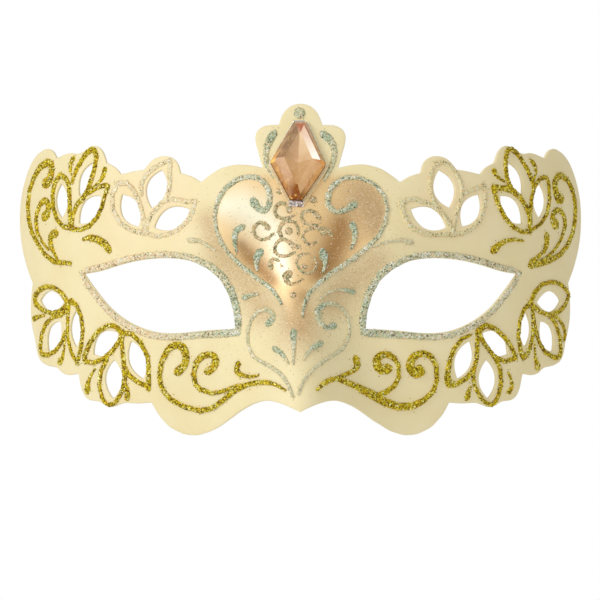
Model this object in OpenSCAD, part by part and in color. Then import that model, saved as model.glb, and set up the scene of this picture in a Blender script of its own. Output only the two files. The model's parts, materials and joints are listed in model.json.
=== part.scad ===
// Half-face carnival mask: a thin moulded shell with leaf cut-outs, raised glitter-glue
// scrollwork, a foil-backed stone at the brow and a ribbon sleeve behind each temple.
//
// Everything on the mask is laid out on its unrolled sheet: u is the distance round the
// face from the middle, v is the height. skin() turns a place on the sheet into a point
// on the moulded face. +Z is up, the face looks along -Y, and the origin is where the
// sheet's middle line crosses the eye line, on the untouched wrap surface.

/* [Shell] */
// Thickness of the moulded shell
wall = 1.1; // [0.9:0.1:1.8]
// Radius of the front arc, seen from above
front_r = 110; // [100:1:125]
// Radius of the temple arcs, seen from above
temple_r = 90; // [80:1:105]
// Angle at which the front arc gives way to the temple arcs
front_angle = 30; // [26:1:34]
// Radius of the backward sweep from brow to crown and from cheek to lip
camber_r = 150; // [120:5:250]
// How far the nose stands out at its tip
nose_h = 20; // [12:1:24]
// Half width of the nose at the bridge
bridge_w = 12; // [10:0.5:14]
// Half width that the nose gains by its tip
nostril_gain = 5; // [2:0.5:7]
// How far each brow stands out
brow_h = 3; // [1:0.5:4]

/* [Glitter beads] */
// Height of the gold glitter beads
gold_h = 0.8; // [0.5:0.1:1.2]
// Height of the silver glitter beads
silver_h = 0.6; // [0.4:0.1:1]
// Width of the glitter rim round each eye
rim_w = 2.2; // [1.6:0.1:3]
// Width of the silver strokes against the width they are drawn with
silver_spread = 1; // [0.9:0.05:1.2]

/* [Stone] */
// Length of the stone between its cut-off tips
stone_l = 26.4; // [23:0.2:26.8]
// Width of the stone
stone_w = 17.6; // [15:0.2:17.8]
// Width of the flat at each tip
stone_tip = 4; // [2.5:0.1:5]
// Height of the stone above its foil
stone_h = 3.6; // [2.6:0.1:4.4]
// Thickness of the foil backing
foil_t = 0.2; // [0.15:0.05:0.4]

/* [Ribbon sleeves] */
// Length of a sleeve patch, round the face
patch_l = 12; // [10:1:14]
// Height of a sleeve patch
patch_w = 13; // [12:1:15]
// Thickness of a sleeve patch
patch_t = 0.8; // [0.6:0.1:1.2]
// Height of the ribbon passage
passage_w = 8; // [6:0.5:9]
// Depth of the ribbon passage
passage_t = 1.2; // [1:0.1:1.5]

/* [Hidden] */
cream = "#F0E7BE";
gold = "#A8920F";
silver = "#B7C8BC";
blush = "#CDBFA8";
peach = "#C98F62";

rad = 180 / PI;
front_arc = front_r * front_angle / rad;
camber_v = 5; // height at which the sweep turns from forward to backward
nose_top = 40; // height at which the nose starts to rise from the forehead
nose_run = 75; // fall from there to the tip
brow_at = [28, 17];
brow_spread = [14, 10];
sink = 0.12; // beads start this far under the skin, so that they meet its flat facets
rim_out = 0.53; // how far the middle of an eye's rim lies from its opening, in rim widths
block = 7; // depth of the solid that is cut away from the glue under the stone
step = 0.05; // step used to measure the slope of the skin

// Shape of the skin ---------------------------------------------------------------------

function heading(u) = abs(u) < front_arc ? abs(u) / front_r * rad
    : front_angle + (abs(u) - front_arc) / temple_r * rad;
function wrap_x(u) = sign(u) * (abs(u) < front_arc ? front_r * sin(heading(u))
    : front_r * sin(front_angle) + temple_r * (sin(heading(u)) - sin(front_angle)));
function wrap_y(u) = abs(u) < front_arc ? front_r * (1 - cos(heading(u)))
    : front_r * (1 - cos(front_angle)) + temple_r * (cos(front_angle) - cos(heading(u)));

function nose(u, v) = nose_h * pow(max(nose_top - v, 0) / nose_run, 1.5)
    * exp(-pow(u / (bridge_w + nostril_gain * max(0, min(1.2, (10 - v) / 45))), 2));
function brow(u, v) = brow_h * exp(-pow((abs(u) - brow_at[0]) / brow_spread[0], 2)
    - pow((v - brow_at[1]) / brow_spread[1], 2));
function bare(u, v) = [wrap_x(u), wrap_y(u) + pow(v - camber_v, 2) / (2 * camber_r) - nose(u, v)
    - brow(u, v), v];
function unit(a) = a / norm(a);
function outward(u, v) = unit(cross(bare(u + step, v) - bare(u - step, v),
    bare(u, v + step) - bare(u, v - step)));
// A point d outside the skin, over the place [u, v] on the sheet
function skin(p, d) = bare(p[0], p[1]) + d * outward(p[0], p[1]);

// Curves on the sheet -------------------------------------------------------------------

function last(a) = a[len(a) - 1];
function flip(path) = [for (i = [len(path) - 1:-1:0]) path[i]];
function mirrored(path) = [for (p = path) len(p) > 2 ? [-p[0], p[1], p[2]] : [-p[0], p[1]]];
function turn(a, b, c) = let (p = b - a, q = c - b)
    abs(atan2(p[0] * q[1] - p[1] * q[0], p[0] * q[0] + p[1] * q[1]));
function flat2(p) = [p[0], p[1]];
function blend(a, b, c, d, t) = 0.5 * (2 * b + (c - a) * t + (2 * a - 5 * b + 4 * c - d) * t * t
    + (3 * b - a - 3 * c + d) * t * t * t);
// Steps that a stretch needs: none may be long, least of all over the nose, or turn far
function steps(a, b, c, d, bend) = max(1, ceil(norm(flat2(c - b)) / (abs(b[0]) < 20 ? 3 : 6)),
    ceil((turn(flat2(a), flat2(b), flat2(c)) + turn(flat2(b), flat2(c), flat2(d))) / 2 / bend));
// A smooth curve through the points of a path
function smooth(path, bend) = [for (i = [0:len(path) - 2])
    let (b = path[i], c = path[i + 1], a = i > 0 ? path[i - 1] : 2 * b - c,
        d = i < len(path) - 2 ? path[i + 2] : 2 * c - b, n = steps(a, b, c, d, bend))
    each [for (k = [0:n - 1]) blend(a, b, c, d, k / n)], last(path)];
function open_end(path) = [for (i = [0:len(path) - 2]) path[i]];
// Several smooth runs joined at sharp corners into one closed loop
function joined(runs) = [for (run = runs) each open_end(smooth(run, 24))];
function area2(loop) = let (n = len(loop))
    [for (i = [0:n - 1]) loop[i][0] * loop[(i + 1) % n][1] - loop[(i + 1) % n][0] * loop[i][1]]
    * [for (i = [0:n - 1]) 1];
function clockwise(loop) = area2(loop) > 0 ? flip(loop) : loop;
function middle(loop) = [for (k = [0, 1]) [for (p = loop) p[k]] * [for (p = loop) 1] / len(loop)];
// A closed loop moved outwards by d
function grown(loop, d) = let (n = len(loop)) [for (i = [0:n - 1])
    let (t = unit(loop[(i + 1) % n] - loop[(i + n - 1) % n])) loop[i] + d * [-t[1], t[0]]];
// A leaf of length l and width w about the place c, with its length at angle a
function leaf(c, l, w, a, n = 7) = let (half = [for (k = [0:n])
        let (s = k / n) [(s - 0.5) * l, w / 2 * pow(sin(180 * s), 0.8)]],
    ring = concat(half, [for (k = [n - 1:-1:1]) [half[k][0], -half[k][1]]]))
    [for (p = ring) c + [p[0] * cos(a) - p[1] * sin(a), p[0] * sin(a) + p[1] * cos(a)]];

// Solids on the skin --------------------------------------------------------------------

// The skin's own block between depths d0 and d1, over a grid of us by vs
module skin_block(us, vs, d0, d1) {
    nu = len(us);
    nv = len(vs);
    n = nu * nv;
    function at(i, j) = i * nv + j;
    rim = [for (j = [0:nv - 2]) at(0, j), for (i = [0:nu - 2]) at(i, nv - 1),
        for (j = [nv - 1:-1:1]) at(nu - 1, j), for (i = [nu - 1:-1:1]) at(i, 0)];
    polyhedron(
        points = [for (d = [d1, d0], u = us, v = vs) skin([u, v], d)],
        faces = [
            for (i = [0:nu - 2], j = [0:nv - 2]) each [
                [at(i, j), at(i, j + 1), at(i + 1, j + 1)],
                [at(i, j), at(i + 1, j + 1), at(i + 1, j)],
                [n + at(i, j), n + at(i + 1, j + 1), n + at(i, j + 1)],
                [n + at(i, j), n + at(i + 1, j), n + at(i + 1, j + 1)]],
            for (k = [0:len(rim) - 1]) let (a = rim[k], b = rim[(k + 1) % len(rim)]) each [
                [b, a, n + a], [b, n + a, n + b]]]);
}

// Grid lines: close together over the nose and brows, where the skin curves most
half_us = [0, 2.5, 5, 7.5, 10, 12.5, 15, 17.5, 20, 23, 26, 30, 35, 40, 46, 54, 62, 70, 78, 86, 94, 102,
    110, 118];
grid_us = concat([for (i = [len(half_us) - 1:-1:1]) -half_us[i]], half_us);
grid_vs = [-50, -44, -39, -34, -29, -24, -19, -14, -9, -4, 1, 6, 10, 14, 18, 22, 26, 31, 36, 41, 48, 55, 62];

// A plug through the skin, with walls square to it, from a closed loop on the sheet.
// tips are how far its two caps reach beyond d0 and d1.
module plug(loop, d0, d1, tips = [1, 1]) {
    ring = clockwise(loop);
    n = len(ring);
    c = middle(ring);
    polyhedron(
        points = [for (p = ring) skin(p, d1), for (p = ring) skin(p, d0), skin(c, d1 + tips[1]),
            skin(c, d0 - tips[0])],
        faces = [for (i = [0:n - 1]) let (j = (i + 1) % n) each [
            [i, j, 2 * n], [j, i, n + i], [j, n + i, n + j], [n + j, n + i, 2 * n + 1]]]);
}

// A bead of glue along a path of [u, v, half width] points, flat topped and h high. Where
// beads cross, each is a little lower than the one before it, and starts a little deeper.
module bead(path, h, order = 0) {
    line = smooth(path, 32);
    low = -sink - order * sink / 10;
    high = h - order * h / 14;
    m = len(line);
    a = line[0];
    z = last(line);
    va = unit(flat2(line[1] - a));
    vz = unit(flat2(z - line[m - 2]));
    run = concat([[a[0] - va[0] * a[2] * 0.85, a[1] - va[1] * a[2] * 0.85, a[2] * 0.4]], line,
        [[z[0] + vz[0] * z[2] * 0.85, z[1] + vz[1] * z[2] * 0.85, z[2] * 0.4]]);
    n = len(run);
    rings = [for (i = [0:n - 1])
        let (t = unit(flat2(run[min(i + 1, n - 1)] - run[max(i - 1, 0)])), side = [-t[1], t[0]],
            w = max(run[i][2], 0.25), c = flat2(run[i]), top = i == 0 || i == n - 1 ? high * 0.4 : high)
        each [skin(c + w * side, low), skin(c + w * 0.6 * side, top), skin(c - w * 0.6 * side, top),
            skin(c - w * side, low)]];
    polyhedron(
        points = rings,
        faces = [
            [0, 1, 2, 3],
            for (i = [0:n - 2], k = [0:3]) let (j = (k + 1) % 4) each [
                [4 * i + j, 4 * i + k, 4 * i + 4 + k], [4 * i + j, 4 * i + 4 + k, 4 * i + 4 + j]],
            [for (k = [3:-1:0]) 4 * (n - 1) + k]]);
}

// A closed bead round a loop on the sheet
module ring_bead(loop, w, h) {
    n = len(loop);
    outer = grown(loop, w / 2);
    inner = grown(loop, -w / 2);
    outer_top = grown(loop, w * 0.3);
    inner_top = grown(loop, -w * 0.3);
    polyhedron(
        points = [for (i = [0:n - 1]) each [skin(outer[i], -sink), skin(outer_top[i], h),
            skin(inner_top[i], h), skin(inner[i], -sink)]],
        faces = [for (i = [0:n - 1], k = [0:3]) let (j = (k + 1) % 4, next = (i + 1) % n) each [
            [4 * i + j, 4 * i + k, 4 * next + k], [4 * i + j, 4 * next + k, 4 * next + j]]]);
}

// A round dot of glue
module dot(p, r, h, n = 8) {
    function at(k, s) = flat2(p) + r * s * [sin(k * 360 / n), cos(k * 360 / n)];
    polyhedron(
        points = [for (k = [0:n - 1]) skin(at(k, 1), -sink), for (k = [0:n - 1]) skin(at(k, 0.6), h)],
        faces = [[for (k = [0:n - 1]) n + k], [for (k = [n - 1:-1:0]) k],
            for (k = [0:n - 1]) let (j = (k + 1) % n) each [[k, j, n + j], [k, n + j, n + k]]]);
}

// Beads and dots that lie on the skin and run together where they cross. spread widens them.
module on_skin(beads, h, dots = [], spread = 1) {
    resize([0, 0, 0]) {
        for (i = [0:len(beads) - 1]) bead([for (p = beads[i]) [p[0], p[1], p[2] * spread]], h, i);
        for (d = dots) dot(d, d[2] * spread, h);
    }
}

module silver_strokes(beads, dots = []) {
    on_skin(beads, silver_h, dots, silver_spread);
}

// Outline and openings ------------------------------------------------------------------

// The right half of the outline, from the crown down to the nose, run by run
crown_run = [[-7, 53.2], [-6, 56.5], [-3.5, 59.3], [0, 60.3], [3.5, 59.3], [6, 56.5], [7, 53.2]];
half_runs = [
    [[7, 53.2], [10.7, 53.2], [13.6, 52], [14.8, 49.2], [13.7, 44.6], [12.2, 39.3]],
    [[12.2, 39.3], [16, 40.2], [21, 40.5], [26, 39.3], [30, 36.8], [32.5, 34.8]],
    [[32.5, 34.8], [35.5, 36.7], [39.6, 37.8]],
    [[39.6, 37.8], [40.2, 40.5], [42, 42.7], [45.5, 43.5], [49.7, 42.3], [52.7, 39]],
    [[52.7, 39], [56, 38.7], [61.5, 37.6]],
    [[61.5, 37.6], [63.2, 39.6], [65.5, 40.8], [67.4, 41.5]],
    [[67.4, 41.5], [68.8, 45], [71, 47], [73.5, 47.3], [77, 45.6], [80, 44.5]],
    [[80, 44.5], [83.5, 45.2], [87, 44.6], [91.3, 43.4]],
    [[91.3, 43.4], [93.3, 45.9], [97.5, 46.9], [102.4, 45.5], [108, 42], [113.3, 36], [116.5, 30],
        [117.5, 24], [116.7, 18.5], [114, 12.5], [109.7, 6.5], [106, 2.3]],
    [[106, 2.3], [107, -1], [107.6, -5.5], [107.3, -10], [105.5, -14.5], [104, -17.5]],
    [[104, -17.5], [103.2, -20.7], [100.5, -23.7], [96, -25], [90.5, -25.4]],
    [[90.5, -25.4], [88, -27.3], [84.5, -28], [79.7, -27.4]],
    [[79.7, -27.4], [79, -31], [77.3, -34.5], [74.5, -36.1], [70, -36.3]],
    [[70, -36.3], [68, -37.8], [65, -38.3], [62.5, -37.5], [60.3, -36.6]],
    [[60.3, -36.6], [55, -36.9], [49.9, -36.5]],
    [[49.9, -36.5], [47.9, -40.1], [43.8, -44.4], [38.5, -46.8], [34, -47.1], [29, -45.5], [24, -42.2],
        [19, -38.4], [14, -35.8], [10, -35.2], [5, -36.5], [0, -38.7]]];
outline = joined(concat([crown_run], half_runs,
    [for (i = [len(half_runs) - 1:-1:0]) flip(mirrored(half_runs[i]))]));

eye_runs = [
    [[77, 5.3], [70, 6.1], [62, 8.1], [55, 9.5], [48, 10.2], [41, 10.1], [35, 9], [30, 6.6], [26, 3.2],
        [23.3, -1.5], [21.8, -6.5], [21, -12.5]],
    [[21, -12.5], [26, -12.7], [33, -13.2], [40, -13.9], [47, -13.8], [53.5, -12.3], [60, -9.5],
        [66, -5.5], [72, 0.2], [77, 5.3]]];
eye = clockwise(joined(eye_runs));

// Leaf cut-outs: centre, length, width and angle, three to a flower
leaves = [
    [[57.8, 25.8], 12.3, 7.4, 58], [[48, 32.7], 12.9, 7.9, 107], [[42.5, 23.1], 13.9, 7.3, 155],
    [[88.3, 29.3], 11.6, 6.9, 88], [[76.4, 36.2], 12.3, 5.6, 119], [[74.6, 26.2], 13.2, 7.4, 138],
    [[93.9, -3.7], 14.2, 7, 2], [[92.4, -15.2], 12.4, 7.7, -53], [[80.9, -12.8], 12, 5.5, 90],
    [[67.8, -17.4], 12.6, 7.9, -34], [[64.5, -29], 12.8, 7.2, 94], [[55.2, -22.7], 13.2, 6.7, 70]];

far = 300; // the outline plug's caps come to a point this far in front of and behind the face

module mask_shell() {
    color(cream) resize([0, 0, 0]) difference() {
        intersection() {
            skin_block(grid_us, grid_vs, -wall, 0);
            plug(outline, -wall - 2, 2, [far, far]);
        }
        for (loop = concat([eye], [for (l = leaves) leaf(l[0], l[1], l[2], l[3])])) {
            plug(loop, -wall - 1, 1);
            plug(mirrored(loop), -wall - 1, 1);
        }
    }
}

// Gold beads ----------------------------------------------------------------------------
// Each path is a list of [u, v, half width]. The two sides are drawn by hand, so they differ.

module left_temple_scroll() {
    color(gold) on_skin([
        [[-97.6, 35.1, 2], [-95.3, 35.9, 1.9], [-93.6, 38.5, 1.5], [-93.8, 41.3, 1.6], [-97, 42, 1.4],
            [-101, 40.5, 1.2], [-105, 37, 0.9], [-108, 33, 0.9], [-109.2, 28, 1.1], [-108.6, 24, 1],
            [-106.3, 19.5, 0.9], [-102, 15.5, 0.8], [-97, 11.7, 0.8], [-92, 9.4, 0.9], [-87.5, 9, 0.8],
            [-83, 8.8, 0.6]],
        [[-97.8, 24.2, 1.9], [-95.6, 25.4, 1.6], [-95.2, 28, 1.3], [-97.3, 29.5, 1.3], [-100.3, 28.3, 0.9],
            [-102.6, 25.5, 0.9], [-103.1, 22, 1], [-102, 18.8, 0.7], [-99, 16, 0.4], [-95, 13.3, 0.4]],
        [[-90.7, 18.6, 1.5], [-92.6, 18.5, 1.5], [-94, 16.8, 1.3], [-93.4, 14.3, 1.1], [-92, 12.4, 0.7],
            [-90, 10.4, 0.4]]], gold_h);
}

module right_temple_scroll() {
    color(gold) on_skin([
        [[101, 30.3, 2], [98.9, 30.1, 1.8], [97.3, 32.4, 1.5], [96.7, 35.2, 1.4], [98.3, 37.3, 1.3],
            [101.5, 37.8, 1.1], [105.5, 36.3, 0.9], [109, 33, 0.9], [111.2, 28.5, 1], [110.9, 23.5, 1],
            [108.5, 18.5, 0.9], [104.5, 14.6, 0.9], [99.5, 11.6, 0.9], [94, 9.9, 1], [88, 8.8, 1.2],
            [83.3, 8.2, 1.4]],
        [[97.4, 21.6, 2.1], [95.3, 22.7, 1.3], [95.5, 25, 1.1], [97.8, 26.4, 0.9], [100.8, 25.9, 0.9],
            [103, 23.4, 0.9], [102.8, 20.5, 0.8], [100.5, 17, 0.5], [97, 13.8, 0.4], [93, 11.4, 0.5],
            [89, 9.7, 0.5]],
        [[91.8, 17.8, 1.5], [91.8, 15.3, 1.2], [90.3, 12.8, 0.8], [87, 10.9, 0.7], [83.3, 9.3, 0.8]]],
        gold_h);
}

module left_temple_flower() {
    color(gold) on_skin([
        [[-83, 20.5, 1.1], [-86.5, 20.6, 0.8], [-90, 23, 0.8], [-92.3, 27, 0.8], [-92.7, 31.5, 0.8],
            [-91.3, 35.5, 0.9], [-88.6, 37.8, 1]],
        [[-88.6, 37.8, 1], [-85.5, 36.5, 0.9], [-83.9, 33.5, 0.9],
            [-83.6, 28, 0.9], [-83, 20.5, 1]],
        [[-82.6, 35, 0.5], [-80.5, 39.3, 0.8], [-77, 43.6, 0.9], [-73.3, 46, 1.1], [-71.4, 43.5, 0.9],
            [-72.2, 39.5, 0.8], [-73.8, 35.5, 0.9], [-75.3, 32.2, 0.9], [-77.5, 29.8, 1], [-80, 28, 0.9],
            [-81.7, 25, 0.7], [-82.6, 21.5, 0.9]],
        [[-82, 20, 1], [-78.5, 19.6, 0.7], [-74.5, 20.8, 0.9], [-71, 23.6, 0.8], [-68.7, 27.5, 0.7],
            [-67.5, 31.3, 0.7], [-66.4, 33.9, 0.9], [-69, 33.8, 0.8], [-71.7, 32.8, 0.4],
            [-74.8, 31.3, 0.5]],
        [[-82, 43.3, 0.9], [-83.4, 41.3, 0.8], [-83.5, 39, 0.6], [-83, 37.6, 0.3]],
        [[-67.8, 39.3, 1.1], [-68.5, 37, 0.8], [-70, 35.2, 0.5], [-71.8, 34.1, 0.35], [-73.2, 33.1, 0.3]]],
        gold_h);
}

module right_temple_flower() {
    color(gold) on_skin([
        [[83, 19.3, 1], [79, 18.9, 0.7], [75, 20.5, 0.8], [71.5, 23.5, 0.8], [68.7, 27.5, 0.8],
            [67.3, 31, 0.8], [66.8, 33.3, 1.2]],
        [[66.8, 33.3, 1.2], [70, 33.2, 0.9], [74, 32.9, 1.3], [78, 30.5, 0.9],
            [81, 27.3, 0.9], [82.8, 24, 0.9], [83, 19.8, 1]],
        [[74, 33.4, 0.9], [72.3, 36.8, 0.8], [71.8, 41, 0.8], [72.6, 45, 0.9], [74.5, 46.1, 0.9],
            [78, 43.8, 0.8], [81.5, 40, 0.8], [84.2, 35.8, 0.8], [84.9, 33.6, 0.7]],
        [[83.2, 20.5, 0.8], [83, 25, 0.9], [83.8, 30, 0.8], [85.4, 34, 0.8], [88, 36.4, 0.8],
            [91.8, 37, 0.8], [93.2, 34, 0.7], [93.4, 29.5, 0.7], [92, 25.2, 0.8], [88.8, 21.9, 0.7],
            [84.5, 20, 0.6]],
        [[83.4, 42.6, 0.5], [85.4, 41.2, 0.8], [86.3, 38.7, 0.5], [85.3, 36.5, 0.3]],
        [[67, 38.8, 1.1], [68.1, 37, 0.7], [70, 35.9, 0.4], [71.5, 35.3, 0.3]]], gold_h);
}

module left_brow_dash() {
    color(gold) on_skin([[[-66, 13, 1.3], [-67.5, 14.9, 1.4], [-70.5, 16.4, 1.4], [-74, 17.1, 1.1],
        [-77, 16.5, 0.4]]], gold_h);
}

module right_brow_dash() {
    color(gold) on_skin([[[66.6, 12.9, 1.5], [69, 14.8, 1], [72, 16.1, 0.7], [75.5, 16.5, 0.5],
        [79.8, 16, 0.3]]], gold_h);
}

module left_cheekbone_flower() {
    color(gold) on_skin([
        [[-84.3, -4.3, 1], [-87.5, -0.9, 0.8], [-92, 1, 0.7], [-96.5, 1.2, 0.8], [-101, 0, 1],
            [-104, -2.2, 1.1]],
        [[-104, -2.2, 1.1], [-103.3, -4.5, 1.1], [-98.5, -6.6, 0.8], [-93, -7.6, 0.8], [-88, -6.6, 0.8],
            [-84.3, -4.6, 1]],
        [[-84.8, -6.5, 0.6], [-88, -8.2, 0.6], [-92.5, -8.9, 0.7], [-96.5, -10.8, 0.8], [-99.3, -14.5, 0.8],
            [-100.3, -18.8, 0.9], [-99.3, -21, 0.9], [-95.5, -21.2, 0.8], [-91.5, -20, 0.8],
            [-88, -17.3, 0.7],
            [-85.6, -13.5, 0.6]],
        [[-83, -3.5, 1.1], [-80, -5, 0.8], [-78.1, -8.5, 0.8], [-77.3, -13, 0.8], [-78, -18, 0.8],
            [-80, -23.8, 0.7]],
        [[-80, -23.8, 0.7], [-82.8, -20.5, 0.7], [-84.6, -15.5, 0.7], [-84.6, -10, 0.7], [-84, -5, 0.8]],
        [[-105, -9.4, 1.1], [-101.5, -8.7, 0.7], [-97.5, -8.2, 0.4]],
        [[-89, -23.5, 1.5], [-87.4, -22, 0.8], [-86.5, -19, 0.4], [-86, -16, 0.3]]], gold_h);
}

module right_cheekbone_flower() {
    color(gold) on_skin([
        [[83.2, -4, 1], [85.2, -0.7, 0.8], [89, 1.9, 0.7], [94, 2.7, 0.7], [100, 2, 0.7], [104.4, 0, 0.7],
            [105.8, -1.8, 0.7]],
        [[105.8, -1.8, 0.7], [103, -5, 0.7], [99.3, -7, 0.8], [94, -8.2, 0.9], [88.5, -7.2, 0.8],
            [84, -5, 0.9]],
        [[93.5, -8.4, 0.6], [97.3, -11.3, 0.8], [99.8, -15.5, 0.8], [100.4, -19.5, 0.8], [99.2, -22, 0.9],
            [95.5, -21.9, 0.8], [91, -20.3, 0.8], [87.8, -17.2, 0.8], [85.6, -13, 0.8], [84.3, -8, 0.7],
            [83.9, -5, 0.7]],
        [[83, -4.3, 0.9], [80, -6.3, 0.8], [78.1, -10, 0.7], [77.4, -15, 0.8], [78.3, -19.3, 0.9],
            [80, -22, 1.2], [82.7, -19.5, 0.8], [84.3, -15, 0.7], [84.5, -10, 0.7]],
        [[95.5, -8.6, 0.4], [98.8, -9.3, 0.5], [101.8, -11.6, 0.7], [103.4, -14.6, 0.7],
            [102.6, -16.5, 0.5]],
        [[87, -25, 1.7], [86, -22.8, 0.8], [85.4, -20, 0.4], [85.3, -17, 0.3]]], gold_h);
}

module left_cheek_flower() {
    color(gold) on_skin([
        [[-60.6, -13.9, 1], [-63, -11.9, 0.8], [-66.5, -11.5, 0.8], [-70.5, -13.4, 0.8], [-74, -17, 0.9],
            [-76.5, -21.3, 0.9], [-76.3, -23.2, 0.9]],
        [[-76.3, -23.2, 0.9], [-72.5, -23.6, 0.7], [-68.5, -22.3, 0.8],
            [-64.8, -19.8, 0.8], [-61.8, -16.4, 0.8], [-60.4, -14, 0.9]],
        [[-66.8, -22.3, 0.7], [-69.5, -26.5, 0.8], [-70.2, -31, 0.7], [-69, -35, 0.7], [-66.3, -37.4, 0.7],
            [-63, -35.9, 0.7], [-60.6, -32.3, 0.8], [-59.8, -28, 0.9], [-60.3, -22, 0.8], [-60.9, -17, 0.7],
            [-60.5, -14.3, 0.8]],
        [[-60, -13.9, 0.9], [-57, -14.2, 0.8], [-53.7, -17, 0.8], [-51.2, -21.5, 0.8], [-50.8, -26, 0.8],
            [-50.9, -32, 0.8]],
        [[-51.3, -31, 1], [-54.3, -30.1, 0.8], [-57.6, -28, 0.9], [-59.6, -25.6, 0.8]],
        [[-75.5, -32.8, 1.5], [-75.3, -30.5, 1.1], [-74.1, -28, 0.5], [-72, -25.6, 0.3]],
        [[-59, -34.9, 1.3], [-58.9, -32.3, 0.9], [-59.6, -30, 0.4]]], gold_h);
}

module right_cheek_flower() {
    color(gold) on_skin([
        [[60.3, -13.3, 1.1], [63.5, -11.5, 0.9], [68, -13, 0.9], [72, -16, 0.8], [75, -19.6, 0.8],
            [76.2, -22.1, 0.8]],
        [[76.2, -22.1, 0.8], [71.5, -23.3, 0.7], [67, -21.5, 0.8], [63.5, -18, 0.8], [60.6, -14, 0.9]],
        [[66.8, -21.4, 0.7], [69.5, -25.5, 0.8], [70, -30, 0.8], [68.7, -34.6, 0.8], [65.8, -37.4, 0.7],
            [61.8, -35, 0.7], [59.1, -31, 0.7], [58.6, -27, 0.8], [59.9, -22, 0.8], [60.2, -17, 0.8],
            [60.3, -13.8, 0.9]],
        [[57.6, -14.5, 0.4], [54.5, -15.6, 0.7], [51.5, -18.8, 0.8], [49.8, -23, 0.8], [49, -27.5, 1.2],
            [49.9, -30.4, 1.5], [53, -30.2, 0.9], [56.5, -28.3, 0.9], [58.8, -25.5, 0.9]],
        [[73, -26.8, 0.4], [74.4, -29.3, 0.5], [74.6, -31.8, 0.8], [73.4, -33.3, 1]],
        [[56.5, -34.8, 1.3], [57, -32.9, 0.9], [57.7, -31.3, 0.4]]], gold_h);
}

module left_chin_scroll() {
    color(gold) on_skin([
        [[-40.5, -26.3, 1.6], [-38.3, -24.4, 1.3], [-37.5, -21.5, 1.2], [-38.6, -18.5, 1.4],
            [-41.3, -17.7, 1.2], [-44.2, -19.6, 1.1], [-46.1, -23.2, 0.9], [-47, -28, 0.8], [-46, -32, 0.8],
            [-43, -35.3, 0.8], [-38, -37.7, 0.8], [-32.5, -38.9, 0.9], [-28.5, -37.9, 0.8],
            [-25, -35.4, 0.8], [-21.5, -32.5, 0.9], [-17.5, -30.4, 0.8], [-12, -29.4, 0.8], [-8, -30, 0.6],
            [-4.8, -31.8, 0.3]],
        [[-30.2, -26.1, 1.4], [-28.2, -25, 1.2], [-27.4, -22.5, 1.1], [-28.7, -20.8, 1.1],
            [-31.7, -21.1, 1.1], [-34, -23.4, 1], [-35, -27, 0.8], [-34.5, -30, 0.8], [-32.4, -32.1, 0.8],
            [-28.5, -33.2, 0.7], [-25, -32.5, 0.6], [-21, -30.8, 0.5], [-18.5, -30.2, 0.4]]], gold_h);
}

module right_chin_scroll() {
    color(gold) on_skin([
        [[39.9, -26.2, 1.5], [38.1, -27.2, 1.4], [36.3, -25.7, 1.6], [36, -23.3, 1.5], [37.6, -21.2, 1.3],
            [40.5, -20.4, 1.1], [43.4, -21.7, 1], [45, -24.7, 0.8], [45.2, -29, 0.8], [44, -32.6, 0.8],
            [40.5, -35.7, 1], [36.5, -37.5, 1.3], [32, -37.6, 1.3], [27.5, -36.1, 1.4], [23, -33.5, 1.5],
            [18.5, -31.2, 1.1], [14, -29.2, 0.9], [11.4, -28.3, 0.8], [8, -29.3, 0.8], [5.2, -31.7, 0.4]],
        [[28.3, -25.3, 1.9], [26, -25.6, 1.6], [24.6, -23.6, 1.5], [25.1, -21.6, 1.3], [27.5, -20.6, 1.2],
            [30.3, -21.8, 0.9], [32, -24.6, 0.7], [32, -28, 0.7], [30.5, -30.9, 0.8], [27.5, -33, 0.9],
            [24.3, -33.9, 0.8]],
        [[12, -28, 0.7], [14.5, -26.9, 0.7], [17, -25.9, 0.8], [18.3, -24, 1.1], [17.7, -21.9, 1.2]]],
        gold_h, [[39, -25, 1.1]]);
}

module left_chin_hook() {
    color(gold) on_skin([[[-20, -23.4, 0.8], [-20.6, -25.3, 0.9], [-19.2, -27.2, 0.8], [-16.5, -27.7, 0.5],
        [-13.4, -27.3, 0.25]]], gold_h);
}

// Silver beads --------------------------------------------------------------------------

module eye_rim(side) {
    loop = side > 0 ? eye : clockwise(mirrored(eye));
    color(silver) ring_bead(grown(loop, rim_w * rim_out), rim_w, silver_h);
}

module left_brow_flower() {
    color(blush) silver_strokes([
        [[-52, 18.3, 1], [-57, 19.3, 0.9], [-61.5, 21.6, 0.9], [-64.3, 26, 0.9], [-64.7, 31, 0.9],
            [-62.6, 34.5, 1]],
        [[-62.6, 34.5, 1], [-59, 34.7, 1], [-56.4, 32.3, 0.9], [-54.6, 29.2, 0.9], [-53.2, 25.6, 0.9],
            [-52.4, 22, 0.9], [-51.8, 18.8, 1]],
        [[-53.3, 30.9, 0.7], [-53.7, 33.8, 0.9], [-52.2, 36.7, 0.9], [-49.5, 39.1, 0.9], [-46.4, 40.7, 0.8],
            [-43, 42.1, 0.5]],
        [[-43, 41.8, 0.8], [-43.3, 38.6, 0.9], [-43.2, 35, 0.9], [-43.6, 31.8, 0.9], [-45.1, 28.9, 0.9],
            [-47.6, 26.6, 0.9], [-50, 24.1, 0.9], [-51.3, 21.5, 0.9], [-51.8, 18.9, 1]],
        [[-45.3, 28.5, 0.7], [-42.3, 29.2, 0.9], [-39.5, 28.9, 0.9], [-37, 28.3, 0.9], [-34.2, 28.8, 0.5]],
        [[-34.5, 28.2, 0.8], [-35.3, 25, 0.9], [-36.6, 22.7, 0.9], [-38.2, 21, 0.9], [-40.4, 19.3, 0.9],
            [-43.6, 17.9, 0.9], [-47.5, 17.3, 0.9], [-51.5, 18.2, 0.9]]]);
}

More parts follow.
